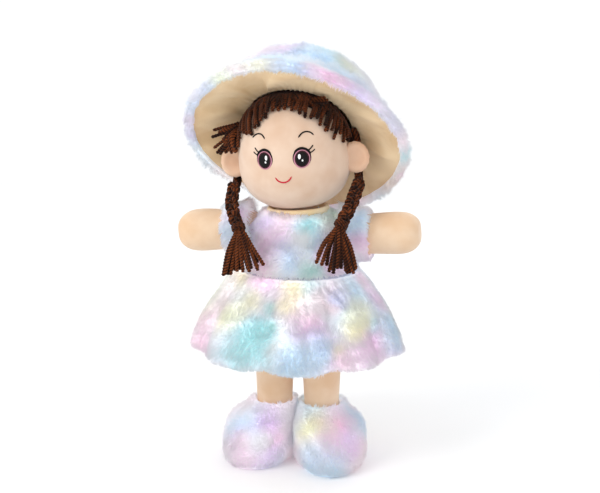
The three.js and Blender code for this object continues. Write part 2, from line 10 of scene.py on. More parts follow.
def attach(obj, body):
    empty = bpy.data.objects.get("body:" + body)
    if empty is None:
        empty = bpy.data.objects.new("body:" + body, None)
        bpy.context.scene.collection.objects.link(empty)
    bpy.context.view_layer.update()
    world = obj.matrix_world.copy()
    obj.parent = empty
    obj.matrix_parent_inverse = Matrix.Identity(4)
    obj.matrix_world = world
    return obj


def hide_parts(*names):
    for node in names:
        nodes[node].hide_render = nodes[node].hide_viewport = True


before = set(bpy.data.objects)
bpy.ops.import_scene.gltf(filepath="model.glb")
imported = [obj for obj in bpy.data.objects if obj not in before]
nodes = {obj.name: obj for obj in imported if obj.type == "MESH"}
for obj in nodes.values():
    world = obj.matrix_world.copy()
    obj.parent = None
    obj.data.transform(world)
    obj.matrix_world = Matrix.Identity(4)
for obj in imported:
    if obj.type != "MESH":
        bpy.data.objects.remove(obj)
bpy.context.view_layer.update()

MM = 0.001
SIDES = (("left", 1), ("right", -1))
scene = bpy.context.scene

# Sizes that part.mjs also uses, in millimetres
LEAN = math.radians(4.5)
NECK = 243
HEAD_HEIGHT = 103
HEAD_HALF_WIDTH = 51.3
HEAD_DEPTH = 0.92
EAR_HALF = (13, 5, 14.5)
EAR_OUT = 5.7
EAR_HEIGHT = HEAD_HEIGHT / 2 - 7
HAIRLINE = (66, math.radians(52))
BRAID_PIVOT = (59, -4, 20.5)
BRAID_BEND = (55.5, -26, 6.5)
BRAID_KNOT = (47.5, -38.5, -9.5)
TASSEL_DROP = 41
TASSEL_FORWARD = 14.5
TASSEL_INWARD = 4
HAT_TURN = Euler((math.radians(-48), math.radians(2), 0), "XYZ")
HAT_CENTRE = Vector((-1.5, -4, 304))
RIM = 102
BRIM_PLUSH = 6
BRIM_HEIGHT = 20
BAND = 63
THROAT = (49, 26, -2, 7.5)
BODY_DEPTH = 0.82
WAIST = 188
SHOULDER = (50.5, 220)
HIP = (23, 122)
ARM_RADIUS = 19
LEG_RADIUS = 18
YARN = 1.75

# The head's and the hat's own frames, and the outline that is turned for the head
HEAD_FRAME = Matrix.Translation((0, 0, NECK)) @ Matrix.Rotation(-LEAN, 4, "Y")
HAT_FRAME = (Matrix.Translation(HAT_CENTRE) @ Matrix.Rotation(HAT_TURN.y, 4, "Y")
             @ Matrix.Rotation(HAT_TURN.x, 4, "X"))
HEAD_OUTLINE = [(8, 0.8), (HEAD_HALF_WIDTH * 0.5, 3.8)] + [(HEAD_HALF_WIDTH * out, HEAD_HEIGHT * up) for out, up in (
    (0.8, 0.135), (0.965, 0.28), (1, 0.43), (0.965, 0.6), (0.84, 0.77), (0.6, 0.91), (0.3, 0.983), (0, 1))]

# The radius at which a turned profile ends, so that its end can be closed
POLE = 0.4


# Curves and meshes

def smooth_path(points, count):
    """A Catmull-Rom curve through the points, as an array of points evenly spread along it."""
    p = np.array(points, float)
    p = np.vstack([2 * p[0] - p[1], p, 2 * p[-1] - p[-2]])
    t = (np.arange(16) / 16)[:, None]
    parts = []
    for i in range(1, len(p) - 2):
        a, b, c, d = p[i - 1:i + 3]
        parts.append(0.5 * (2 * b + (c - a) * t + (2 * a - 5 * b + 4 * c - d) * t ** 2
                            + (3 * b - a - 3 * c + d) * t ** 3))
    fine = np.vstack(parts + [p[-2:-1]])
    far = np.concatenate([[0], np.cumsum(np.linalg.norm(np.diff(fine, axis=0), axis=1))])
    want = np.linspace(0, far[-1], count)
    return np.stack([np.interp(want, far, fine[:, k]) for k in range(fine.shape[1])], axis=1)


def unit(v):
    return v / np.maximum(np.linalg.norm(v, axis=-1, keepdims=True), 1e-12)


def moved(points, matrix, scale=MM):
    """Points in millimetres, carried by a matrix in millimetres, in metres."""
    m = np.array(matrix)
    return (np.asarray(points, float) @ m[:3, :3].T + m[:3, 3]) * scale


def placed(name, data):
    """A new object in the scene."""
    obj = bpy.data.objects.new(name, data)
    scene.collection.objects.link(obj)
    return obj


def make_mesh(name, verts, faces, smooth=True):
    """A new object from vertices and a list of arrays of faces, each array with its own corner count."""
    mesh = bpy.data.meshes.new(name)
    verts = np.asarray(verts, np.float32)
    mesh.vertices.add(len(verts))
    mesh.vertices.foreach_set("co", verts.ravel())
    faces = [np.asarray(f, np.int32) for f in faces if len(f)]
    corners = np.concatenate([f.ravel() for f in faces])
    sizes = np.concatenate([np.full(len(f), f.shape[1]) for f in faces])
    mesh.loops.add(len(corners))
    mesh.loops.foreach_set("vertex_index", corners)
    mesh.polygons.add(len(sizes))
    mesh.polygons.foreach_set("loop_start", np.concatenate([[0], np.cumsum(sizes)[:-1]]).astype(np.int32))
    mesh.polygons.foreach_set("loop_total", sizes.astype(np.int32))
    mesh.update(calc_edges=True)
    mesh.validate()
    if smooth:
        mesh.shade_smooth()
    return placed(name, mesh)


def read(items, attribute, kind=float):
    """One attribute of a mesh's vertices or triangles, three numbers to a row."""
    values = np.zeros(len(items) * 3, kind)
    items.foreach_get(attribute, values)
    return values.reshape(-1, 3)


def triangles(mesh):
    mesh.calc_loop_triangles()
    return read(mesh.loop_triangles, "vertices", np.int32)


def circle(count):
    return np.arange(count) / count * 2 * math.pi


def ring_faces(rows, across, joined=False):
    """The four-sided faces between rings of points, and whether the last ring meets the first."""
    i = np.arange(rows if joined else rows - 1)[:, None]
    j = np.arange(across)[None, :]
    low, high = i * across, (i + 1) % rows * across
    nxt = (j + 1) % across
    return np.stack([low + j, low + nxt, high + nxt, high + j], axis=-1).reshape(-1, 4)


def rings(path, across, front, wide):
    """Rings of points round a path, wide as told for each point of each ring."""
    angle = circle(wide.shape[1])[:, None]
    return path[:, None] + wide[..., None] * (np.cos(angle) * across[:, None] + np.sin(angle) * front[:, None])


def end_fans(rows, across):
    """The triangles that close a tube of rings at both ends, on two points stored after the rings."""
    base, last, tip = np.arange(across), (rows - 1) * across, np.full(across, rows * across)
    following = (base + 1) % across
    return np.vstack([np.stack([following, base, tip], axis=1),
                      np.stack([last + base, last + following, tip + 1], axis=1)])


def closed_tube(name, rows, matrix):
    """An object from rings of points in mm, each end closed on the middle of its ring."""
    count, across = rows.shape[:2]
    points = np.vstack([rows.reshape(-1, 3), rows[0].mean(axis=0), rows[-1].mean(axis=0)])
    return outward(make_mesh(name, moved(points, matrix), [ring_faces(count, across), end_fans(count, across)]))


def closed_ring(name, rows, matrix=Matrix.Identity(4)):
    """An object from rings of points in mm, the last one joined to the first."""
    rows = np.array(rows)
    return outward(make_mesh(name, moved(rows.reshape(-1, 3), matrix), [ring_faces(*rows.shape[:2], True)]))


def outward(obj):
    """Turns a closed piece's faces out."""
    co, tri = read(obj.data.vertices, "co"), triangles(obj.data)
    a, b, c = (co[tri[:, k]] for k in range(3))
    if (a * np.cross(b, c)).sum() < 0:
        obj.data.flip_normals()
    return obj


def revolve(name, profile, segments, depth=1.0, matrix=Matrix.Identity(4), shape=None):
    """A closed body of revolution about the matrix's own axis. shape may move its points, in mm."""
    angle = circle(segments)
    r, z = profile[:, 0][:, None], profile[:, 1][:, None]
    grid = np.stack([r * np.cos(angle), depth * r * np.sin(angle), z + 0 * angle], axis=-1)
    return closed_tube(name, shape(grid, angle) if shape else grid, matrix)


def offset(profile, distance):
    """A profile of radius and height moved out along its normal."""
    p = np.asarray(profile, float)
    along = unit(np.gradient(p, axis=0))
    out = p + distance * np.stack([along[:, 1], -along[:, 0]], axis=1)
    out[:, 0] = np.maximum(out[:, 0], 0)
    return out


def swell(obj, rise):
    """Moves a ground out along its normals, by what rise gives in mm for points in mm and their normals."""
    mesh = obj.data
    co, normal = read(mesh.vertices, "co"), read(mesh.vertices, "normal")
    mesh.vertices.foreach_set("co", (co + normal * rise(co / MM, normal)[:, None] * MM).ravel())
    mesh.update()


def finish_piece(obj, body, slot, material, *replaced):
    obj.data.materials.clear()
    obj.data.materials.append(material)
    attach(obj, body)
    if replaced:
        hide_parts(*replaced)
    return obj


def softened(name, node_name, voxel, passes, body, material):
    """The plush ground that stands in for a CAD solid: a copy of it, remeshed evenly and smoothed."""
    solid = nodes[node_name].data
    source = make_mesh(name + "_source", read(solid.vertices, "co"), [triangles(solid)])
    remesh = source.modifiers.new("remesh", "REMESH")
    remesh.mode = "VOXEL"
    remesh.voxel_size = voxel * MM
    relax = source.modifiers.new("relax", "SMOOTH")
    relax.factor = 0.5
    relax.iterations = passes
    mesh = bpy.data.meshes.new_from_object(source.evaluated_get(bpy.context.evaluated_depsgraph_get()))
    bpy.data.objects.remove(source)
    mesh.name = name
    mesh.shade_smooth()
    return finish_piece(placed(name, mesh), body, "plush", material, node_name)


# Materials: each takes its pattern from the object's own coordinates, so it moves with its piece

class Shader:
    """A material's one Principled shader, and the nodes that feed it."""

    def __init__(self, name, **values):
        self.mat = bpy.data.materials.new(name)
        self.mat.use_nodes = True
        self.tree = self.mat.node_tree
        self.bsdf = self.tree.nodes["Principled BSDF"]
        for key, value in values.items():
            self.bsdf.inputs[key.replace("_", " ")].default_value = value
        self.place = self.add("ShaderNodeTexCoord").outputs["Object"]

    def feed(self, socket, value):
        if isinstance(value, bpy.types.NodeSocket):
            self.tree.links.new(value, socket)
        else:
            socket.default_value = value

    def add(self, kind, inputs=None, **settings):
        node = self.tree.nodes.new(kind)
        for key, value in settings.items():
            setattr(node, key, value)
        for key, value in (inputs or {}).items():
            self.feed(node.inputs[key], value)
        return node

    def noise(self, scale, detail=2.0, distortion=0.0, output="Fac"):
        return self.add("ShaderNodeTexNoise", {"Vector": self.place, "Scale": scale, "Detail": detail,
                                               "Distortion": distortion}).outputs[output]

    def wave(self, scale, distortion, direction, detail=2.0):
        return self.add("ShaderNodeTexWave", {"Vector": self.place, "Scale": scale, "Distortion": distortion,
                                              "Detail": detail}, bands_direction=direction).outputs["Fac"]

    def ramp(self, value, low, high, to_low=0.0, to_high=1.0):
        return self.add("ShaderNodeMapRange", {"Value": value, "From Min": low, "From Max": high, "To Min": to_low,
                                               "To Max": to_high}, interpolation_type="SMOOTHSTEP").outputs["Result"]

    def mix(self, factor, a, b):
        return self.add("ShaderNodeMix", {0: factor, 6: a, 7: b}, data_type="RGBA").outputs[2]

    def times(self, a, b):
        return self.add("ShaderNodeMath", {0: a, 1: b}, operation="MULTIPLY").outputs[0]

    def vector(self, operation, a, b, key=1, output="Vector"):
        return self.add("ShaderNodeVectorMath", {0: a, key: b}, operation=operation).outputs[output]

    def bump(self, height, strength, distance, after=None):
        inputs = {"Height": height, "Strength": strength, "Distance": distance}
        if after is not None:
            inputs["Normal"] = after
        return self.add("ShaderNodeBump", inputs).outputs["Normal"]

    def done(self, colour, normal=None):
        self.feed(self.bsdf.inputs["Base Color"], colour)
        if normal is not None:
            self.feed(self.bsdf.inputs["Normal"], normal)
        return self.mat


def rgb(hex_code, gain=1.0):
    """A colour as written on the web, turned linear."""
    parts = [int(hex_code[i:i + 2], 16) / 255 for i in (0, 2, 4)]
    return tuple(gain * (c / 12.92 if c <= 0.04045 else ((c + 0.055) / 1.055) ** 2.4) for c in parts) + (1,)


def brushed_cotton(name, light, shade):
    """Short napped cotton: a fine knit under soft fibres, with faint mottling."""
    s = Shader(name, Roughness=0.92, Sheen_Weight=0.25, Sheen_Roughness=0.55, Specular_IOR_Level=0.2)
    colour = s.mix(s.ramp(s.noise(28, 3), 0.32, 0.7), rgb(light), rgb(shade))
    fibre = s.noise(1500, 3, 0.8)
    colour = s.mix(s.ramp(fibre, 0.3, 0.75, 0.0, 0.16), colour, rgb(shade))
    nap = s.bump(fibre, 0.22, 0.0004)
    return s.done(colour, s.bump(s.wave(420.0, 3.0, "Z", 1.0), 0.06, 0.0003, nap))


def woven_cotton(name, light, shade):
    """Plain woven lining: two crossed sets of threads with painted shade between them, and random darker patches
    painted as the shade of soft creases.
    """
    s = Shader(name, Roughness=0.88, Sheen_Weight=0.12, Specular_IOR_Level=0.25)
    # Random darker patches, painted as the shade of soft creases
    colour = s.mix(s.ramp(s.noise(22, 4, 0.6), 0.35, 0.68), rgb(light), rgb(shade))
    thread = s.times(s.wave(520.0, 0.6, "X"), s.wave(520.0, 0.6, "DIAGONAL"))
    # Painted shade in the gaps between threads
    colour = s.mix(s.ramp(thread, 0.0, 0.8, 0.10, 0.0), colour, rgb(shade, 0.75))
    return s.done(colour, s.bump(thread, 0.2, 0.0004, s.bump(s.noise(60, 3, 0.5), 0.25, 0.003)))


def dyed_plush(name, spots, ground="F8F2F9", depth=0.88, painted_light_glow=0.16, seam=None):
    """Tie-dyed pile: soft patches of colour that bleed into each other over a pale ground. depth is how far
    a patch hides the ground, and seam the height in mm of a line of painted shadow where the pile is caught in a
    seam.
    The pile also gives off its own colour as a faint glow, painted light that lifts the shade between strands."""
    s = Shader(name, Roughness=0.95, Sheen_Weight=0.3, Sheen_Roughness=0.5, Specular_IOR_Level=0.05,
               Emission_Strength=painted_light_glow)
    drift = s.vector("SUBTRACT", s.noise(26, output="Color"), (0.5, 0.5, 0.5))
    place = s.vector("ADD", s.place, s.vector("SCALE", drift, 0.024, "Scale"))
    colour = s.mix(s.ramp(s.noise(14, 1), 0.4, 0.6), rgb(ground), rgb("EDF6FD"))
    colour = s.mix(s.ramp(s.noise(19, 1), 0.48, 0.66), colour, rgb("FFEFF6"))
    for centre, radius, tone, amount in spots:
        away = s.vector("DISTANCE", place, tuple(MM * c for c in centre), output="Value")
        colour = s.mix(s.ramp(away, 0.0, radius * MM * 2.0, amount * depth, 0.0), colour, rgb(tone))
    colour = s.mix(s.ramp(s.noise(520), 0.4, 0.7, 0.0, 0.22), colour, rgb("FFFFFF"))
    # Fine blue-grey flecks: painted shade between the tufts
    colour = s.mix(s.ramp(s.noise(330), 0.28, 0.46, 0.18, 0.0), colour, rgb("BEB8D2"))
    # A blue-grey band of painted shadow where the pile dips into the seam
    if seam is not None:
        height = s.add("ShaderNodeSeparateXYZ", {0: s.place}).outputs["Z"]
        colour = s.mix(s.ramp(height, (seam - 1) * MM, seam * MM, 0.0, 0.75), colour, rgb("8C93A8"))
    # Painted light: the pile gives off its own colour as a faint glow, standing in for light that passes through the
    # pale fibres
    s.feed(s.bsdf.inputs["Emission Color"], colour)
    return s.done(colour)


def twisted_yarn(name, dark, light):
    """Matt spun yarn: painted light where a ply stands up, and painted shade in the groove between two plies."""
    s = Shader(name, Roughness=0.9, Sheen_Weight=0.08, Sheen_Roughness=0.5, Specular_IOR_Level=0.12)
    fibre = s.noise(900, 4, 1.2)
    ply_crest_and_painted_light = s.add("ShaderNodeAttribute", attribute_name="ply_crest_and_painted_light").outputs["Fac"]
    # Painted light and shade: lighter on each ply's crest, darker in the groove
    lit = s.times(s.ramp(ply_crest_and_painted_light, 0.25, 1.0), s.ramp(fibre, 0.25, 0.65, 0.35, 1.0))
    colour = s.mix(s.ramp(s.noise(70), 0.4, 0.65, 0.0, 0.45), s.mix(lit, rgb(dark), rgb(light)), rgb(dark))
    return s.done(colour, s.bump(fibre, 0.5, 0.0005))


def stitched_thread(name, tone, shade):
    """Satin embroidery thread: close parallel stitches with painted shade between them, and a slight gloss."""
    s = Shader(name, Roughness=0.6, Specular_IOR_Level=0.18)
    stitch = s.wave(640.0, 1.0, "X", 1.0)
    # Painted shade in the troughs between stitches
    return s.done(s.mix(s.ramp(stitch, 0.0, 0.6, 0.45, 0.0), rgb(tone), rgb(shade)), s.bump(stitch, 0.4, 0.0003))


# Camera at the photograph's viewing angle, soft studio light and a pale floor

def set_stage():
    azimuth, pitch, yaw = (math.radians(a) for a in (13, 14.02, 0.094))
    distance, height = 1100, 480
    camera = placed("camera", bpy.data.cameras.new("camera"))
    camera.location = Vector((distance * math.sin(azimuth), -distance * math.cos(azimuth), height)) * MM
    aim = azimuth - yaw
    forward = Vector((-math.sin(aim) * math.cos(pitch), math.cos(aim) * math.cos(pitch), -math.sin(pitch)))
    turn = forward.to_track_quat("-Z", "Y").to_matrix().to_4x4()
    camera.matrix_world = Matrix.Translation(camera.location) @ turn
    focal_px, width_px = 1216, 600
    camera.data.sensor_width = 36
    camera.data.lens = 36 * focal_px / width_px
    camera.data.clip_start = 0.05
    scene.camera = camera
    scene.view_settings.view_transform = "Standard"
    scene.cycles.diffuse_bounces = 10

    world = bpy.data.worlds.new("studio")
    world.use_nodes = True
    background = world.node_tree.nodes["Background"].inputs
    background["Color"].default_value = (0.97, 0.985, 1, 1)
    background["Strength"].default_value = 1.07
    scene.world = world
    for name, place, size, power, tone in (("key", (-0.85, -1.0, 1.2), 0.7, 10, (1, 0.985, 0.96)),
                                           ("fill", (1.3, -0.9, 0.8), 1.2, 1.0, (0.97, 0.98, 1)),
                                           ("back", (0.2, 1.2, 1.3), 1.0, 5, (1, 1, 1))):
        lamp = bpy.data.lights.new(name, "AREA")
        lamp.size, lamp.energy, lamp.color = size, power, tone
        obj = placed(name, lamp)
        obj.location = place
        obj.rotation_euler = (Vector((0, 0, 0.2)) - obj.location).to_track_quat("-Z", "Y").to_euler()

    half = 1.2
    floor = make_mesh("floor", [(-half, -half, 0), (half, -half, 0), (half, half, 0), (-half, half, 0)],
                      [[(0, 1, 2, 3)]])
    paint = Shader("floor_paint", Roughness=0.9, Specular_IOR_Level=0.1)
    grain = paint.ramp(paint.noise(3.0), 0.3, 0.7)
    floor.data.materials.append(paint.done(paint.mix(grain, (0.84, 0.84, 0.84, 1), (0.86, 0.86, 0.86, 1))))


# Long pile: thin spikes of three faces that are combed one way and lean together in tufts

def downward(p, n):
    return 0 * p - (0, 0, 1)


def pile(name, base, chosen, body, material, count, length, seed, width=0.62, tuft=2.8, comb=downward, lie=0.76,
         rise=0.45, spread=0.42, clump=0.36, longer=None, limit=None):
    """Strands rooted on the base's chosen faces. comb gives the way that the nap lies, and limit may hold the
    points back. chosen, comb and longer take millimetres, limit takes metres."""
    rng = np.random.default_rng(seed)
    tri, co = triangles(base.data), read(base.data.vertices, "co")
    a, b, c = (co[tri[:, k]] for k in range(3))
    cross = np.cross(b - a, c - a)
    area = np.linalg.norm(cross, axis=1) / 2
    keep = chosen((a + b + c) / 3 / MM, unit(cross))
    area = np.where(keep, area, 0)
    pick = rng.choice(len(tri), count, p=area / area.sum())
    u, v = rng.random(count), rng.random(count)
    flip = u + v > 1
    u, v = np.where(flip, 1 - u, u), np.where(flip, 1 - v, v)
    share = np.stack([1 - u - v, u, v], axis=1)[..., None]
    root = (co[tri[pick]] * share).sum(1)
    normal = unit((read(base.data.vertices, "normal")[tri[pick]] * share).sum(1))

    # The nap drifts smoothly over the cloth, and neighbouring strands lean together in small tufts
    drift = np.zeros((count, 3))
    for wave in (46.0, 27.0, 15.0):
        turn = unit(rng.normal(0, 1, (3, 3))) * (2 * math.pi / wave / MM)
        drift += np.sin(root @ turn.T + rng.uniform(0, 6.3, 3)) * (0.45 if wave < 20 else 0.6)
    drift = (drift - (drift * normal).sum(1, keepdims=True) * normal) * spread
    tufts = max(8, int(area.sum() / (tuft * MM) ** 2))
    heads = rng.choice(count, min(tufts, count), replace=False)
    tree = KDTree(len(heads))
    for i, p in enumerate(root[heads]):
        tree.insert(p, i)
    tree.balance()
    mine = np.array([tree.find(p)[1] for p in root])
    tall = rng.uniform(0.86, 1.1, len(heads))
    down = comb(root / MM, normal)
    down = down - (normal * down).sum(1, keepdims=True) * normal
    down = down / np.maximum(np.linalg.norm(down, axis=1, keepdims=True), 0.35) * lie
    long = length * MM * (rng.uniform(0.7, 1.05, count) * tall[mine])[:, None]
    if longer is not None:
        long *= longer(root / MM)[:, None]
    way = normal * rise + down + drift
    own = root + long * (way + rng.normal(0, 0.13, (count, 3)))
    shared = root[heads][mine] + long * way[heads][mine]
    tip = own * (1 - clump) + shared * clump
    if limit is not None:
        tip = limit(tip, root)
    along = unit(tip - root)
    side = np.cross(along, normal) + rng.normal(0, 0.2, (count, 3))
    side = unit(side - (side * along).sum(1, keepdims=True) * along) * width * MM / 2
    side *= rng.uniform(0.75, 1.25, (count, 1))
    under = np.cross(side, along)
    under *= np.where((under * normal).sum(1, keepdims=True) > 0, -1, 1)
    verts = np.stack([root - side, root + side, root + under * 1.1, tip], axis=1)
    face = np.cross(verts[:, 1] - verts[:, 0], verts[:, 3] - verts[:, 0])
    turn = ((face * under).sum(1) > 0)[:, None, None]
    verts = np.where(turn, verts[:, [1, 0, 2, 3]], verts)

    # Strands are stored in rows by height, so that a baked map keeps neighbours together
    rows = max(1, int(math.sqrt(count)))
    order = np.argsort(root[:, 2], kind="stable")
    order = np.concatenate([part[np.argsort(np.arctan2(root[part, 0], -root[part, 1]))]
                            for part in np.array_split(order, rows)])
    start = np.arange(count)[:, None] * 4
    obj = make_mesh(name, verts[order].reshape(-1, 3),
                    [start + np.array(f) for f in ((0, 1, 3), (1, 2, 3), (2, 0, 3))], smooth=False)

    columns = int(math.ceil(count / rows))
    cell = np.stack([np.arange(count) % columns / columns, np.arange(count) // columns / (rows + 1)], axis=1)
    inset = np.array([[0.1, 0.1], [0.9, 0.1], [0.5, 0.3], [0.5, 0.9]]) / np.array([columns, rows + 1])
    uv = (cell[:, None, :] + inset[None]).reshape(-1, 2)
    layer = obj.data.uv_layers.new(name="OFBake")
    corner = np.zeros(len(obj.data.loops), np.int32)
    obj.data.loops.foreach_get("vertex_index", corner)
    layer.data.foreach_set("uv", uv[corner].astype(np.float32).ravel())
    return finish_piece(obj, body, "plush", material)


# Yarn: tubes with two plies twisted round each other

def yarn(name, strands, body, *replaced, radius=YARN, sides=8, step=1.25, turn=7.0, groove=0.32):
    """One piece from many strands, each a list of points in metres. turn is the length of one twist and groove
    how deep the plies are parted, as a share of the radius."""
    verts, quads, tris, painted_ply_light, total = [], [], [], [], 0
    for k, strand in enumerate(strands):
        rough = np.array(strand, float)
        length = np.linalg.norm(np.diff(rough, axis=0), axis=1).sum() / MM
        count = max(6, int(length / step) + 1)
        p = smooth_path(rough, count)
        t = unit(np.gradient(p, axis=0))
        across = [unit(np.cross(t[0], (0.3, 0.2, 0.93)))]
        for tangent in t[1:]:
            across.append(unit(across[-1] - (across[-1] @ tangent) * tangent))
        across = np.array(across)
        far = np.linspace(0, length, count)[:, None]
        ends = np.clip(np.minimum(far, length - far) / radius + 0.55, 0, 1)
        ply_crest_and_painted_light = np.abs(np.cos(circle(sides) - 2 * math.pi * far / turn - k * 1.7))
        wide = radius * MM * ends * (1.06 - groove + groove * ply_crest_and_painted_light)
        verts += [rings(p, across, np.cross(t, across), wide).reshape(-1, 3), p[[0, -1]]]
        # The crest of each ply, scaled by a tone that differs from strand to strand, is kept for the material to
        # paint light on the crests and shade in the grooves
        painted_ply_light += [(ply_crest_and_painted_light * (0.85 + 0.35 * math.sin(2.4 * k))).ravel(), [0.5, 0.5]]
        quads.append(ring_faces(count, sides) + total)
        tris.append(end_fans(count, sides) + total)
        total += count * sides + 2
    obj = outward(make_mesh(name, np.vstack(verts), [np.vstack(quads), np.vstack(tris)]))
    obj.data.attributes.new("ply_crest_and_painted_light", "FLOAT", "POINT").data.foreach_set("value", np.concatenate(painted_ply_light))
    return finish_piece(obj, body, "yarn", hair, *replaced)


set_stage()

# Materials of the doll
head_cotton = brushed_cotton("head_cotton", "DEC6B2", "D0B097")
limb_cotton = brushed_cotton("limb_cotton", "E4CAAE", "D8B592")
body_cotton = brushed_cotton("body_cotton", "F3E0CC", "E8CDB2")
ear_cotton = brushed_cotton("ear_cotton", "E0C1A8", "D6AB8C")
fibre = brushed_cotton("loose_fibre", "FAF8F4", "ECE9E2")
card = woven_cotton("sole_card", "C9B393", "B39A78")
lining = woven_cotton("lining_cotton", "F1D8B2", "DFBF93")
binding = woven_cotton("binding_cotton", "FFF0D2", "F3D9AC")
hair = twisted_yarn("hair_yarn", "120402", "7C3F1C")
black_thread = stitched_thread("black_thread", "0A0708", "1A1214")
pink_thread = stitched_thread("pink_thread", "C98A9C", "9C5F74")
maroon_thread = stitched_thread("maroon_thread", "3A1A22", "1E0C12")
white_thread = stitched_thread("white_thread", "FFFFFF", "E4E0DC")
mouth_thread = stitched_thread("mouth_thread", "C8263A", "9C1A2C")

PINK, LILAC, SKY, AQUA, YELLOW, WHITE = "FFDFF2", "F0DCFB", "CCE8FC", "AEEEF1", "FFF9CC", "FFFFFF"
ROSE, TEAL, DUSK = "FACDEE", "9BDAD2", "B4C8EA"


def dye(*patches):
    """Patches of dye as place and radius in mm and tone."""
    return [((x, y, z), 1.5 * radius, tone, 1.0) for x, y, z, radius, tone in patches]


def random_spots(seed, count, place, radius):
    """Patches where the photo shows none, one colour after another. place gives where, radius its limits."""
    rng = np.random.default_rng(seed)
    tones = [PINK, SKY, YELLOW, LILAC, AQUA, WHITE]
    return [(place(rng), float(rng.uniform(*radius)), tones[(i + seed) % len(tones)], float(rng.uniform(0.75, 1)))
            for i in range(count)]


# Head: a stuffed bag, dimpled a little where the neck is gathered

def head_shape(grid, angle):
    z = grid[..., 2]
    pull = 0.5 * np.exp(-((z - 4) / 5) ** 2) * np.cos(22 * angle)[None]
    soft = 0.35 * np.sin(3 * angle + 0.4)[None] * np.sin(z / 17)
    out = unit(grid - (0, 0, 48))
    return grid + out * (soft - np.abs(pull))[..., None]


head_profile = smooth_path(HEAD_OUTLINE, 72)
head_profile[-1, 0] = POLE
head = revolve("head", head_profile, 112, HEAD_DEPTH, HEAD_FRAME, head_shape)
finish_piece(head, "head", "cotton", head_cotton, "head_skin")
head_tree = BVHTree.FromObject(head, bpy.context.evaluated_depsgraph_get())


def on_head(x, z, lift=0.0):
    """The point on the front of the head at a place of its own frame, lifted off it, in mm and then metres."""
    start = HEAD_FRAME @ Vector((x, -150, z)) * MM
    hit, normal, _, _ = head_tree.ray_cast(start, Vector((0, 1, 0)))
    if hit is None:
        hit, normal, _, _ = head_tree.find_nearest(HEAD_FRAME @ Vector((x, -20, z)) * MM)
    return np.array(hit + normal * lift * MM)


def ellipse(x, z, half_x, half_z):
    a = circle(40)
    return np.stack([x + half_x * np.cos(a), z + half_z * np.sin(a)], axis=1)


def satin(name, outlines, lift, material, dome=0.25):
    """Filled embroidery: each outline is raised off the skin and rounded at its edge."""
    verts, quads, tris, total = [], [], [], 0
    levels = [(share, lift + dome * rise) for share, rise in (
        (0.02, 1), (0.35, 0.9), (0.65, 0.65), (0.85, 0.35), (1, -0.2))] + [(1.03, -0.1)]
    for outline in outlines:
        middle, count = outline.mean(axis=0), len(outline)
        rings = [np.array([on_head(x, z, height) for x, z in middle + (outline - middle) * share])
                 for share, height in levels]
        base, points = np.arange(count), len(levels) * count
        verts += rings + [rings[0].mean(axis=0)[None]]
        quads.append(ring_faces(len(levels), count) + total)
        tris.append(np.stack([(base + 1) % count, base, np.full(count, points)], axis=1) + total)
        total += points + 1
    obj = make_mesh(name, np.vstack(verts), [np.vstack(quads), np.vstack(tris)])
    obj.data.flip_normals()
    return finish_piece(obj, "head", "yarn", material)


def threads(name, lines, material):
    """Stem stitch lines, each from points on the face and a width: round cords that taper at both ends."""
    verts, faces, sides, count = [], [], 8, 26
    share = np.linspace(0, 1, count)[:, None]
    for points, width in lines:
        path = np.array([on_head(x, z, 0.2) for x, z in smooth_path(points, count)])
        t = unit(np.gradient(path, axis=0))
        across = unit(np.cross(t, (0, -1, 0)))
        wide = width / 2 * MM * np.clip(np.minimum(share, 1 - share) * 9 + 0.25, 0, 1) * np.ones(sides)
        faces.append(ring_faces(count, sides) + len(verts) * count * sides)
        verts.append(rings(path, across, 0.7 * np.cross(t, across), wide).reshape(-1, 3))
    obj = outward(make_mesh(name, np.vstack(verts), [np.vstack(faces)]))
    return finish_piece(obj, "head", "yarn", material)


EYE_X, EYE_Z = 16.8, 52
EYES = ((0.9 + EYE_X, EYE_Z, 1), (0.9 - EYE_X, EYE_Z, -1))
for layer, rise, half_x, half_z, lift, thread in (
        ("eye_lids", 0.8, 7.7, 8.5, 0.25, black_thread), ("eye_rings", -0.2, 7.0, 8.0, 0.45, pink_thread),
        ("eye_irises", -0.1, 6.1, 7.2, 0.62, maroon_thread), ("eye_pupils", -0.2, 4.9, 6.1, 0.8, black_thread)):
    satin(layer, [ellipse(x, z + rise, half_x, half_z) for x, z, _ in EYES], lift, thread)
satin("eye_lights", [ellipse(*oval) for oval in (
    (15.7, 53.9, 1.25, 2.3), (18.1, 50.5, 0.8, 1.0), (-14.0, 53.9, 1.15, 2.2), (-14.7, 50.2, 0.8, 1.0))],
      1.0, white_thread, 0.15)
lashes = []
for x, z, side in EYES:
    for width, points in ((1.15, ((5.4, 6.6), (7.6, 8.4), (9.6, 10.8))),
                          (1.0, ((6.8, 4.4), (9.2, 5.6), (11.0, 7.2))),
                          (1.3, ((-6.6, 3.0), (-5.0, 7.4), (0, 9.6), (5.2, 7.4), (7.6, 3.4)))):
        lashes.append(([(x + side * out, z + up) for out, up in points], width))
threads("eye_lashes", lashes, black_thread)
BROW = ((-6.4, -0.4, 0), (-3.4, 0, 2.9), (0, 0, 4.0), (3.6, 0, 3.0), (6.4, 0.4, 0))
threads("brows", [([(side * 21.5 + x, 70.7 + side * slant + z) for x, slant, z in BROW], 1.35) for _, side in SIDES],
        black_thread)
threads("mouth", [([(-7.0, 36.6), (-4.2, 33.2), (0.6, 31.8), (5.0, 33.4), (8.0, 37.0)], 1.3)], mouth_thread)


# Ears: flat stuffed discs, dished in front, with a seam round the rim

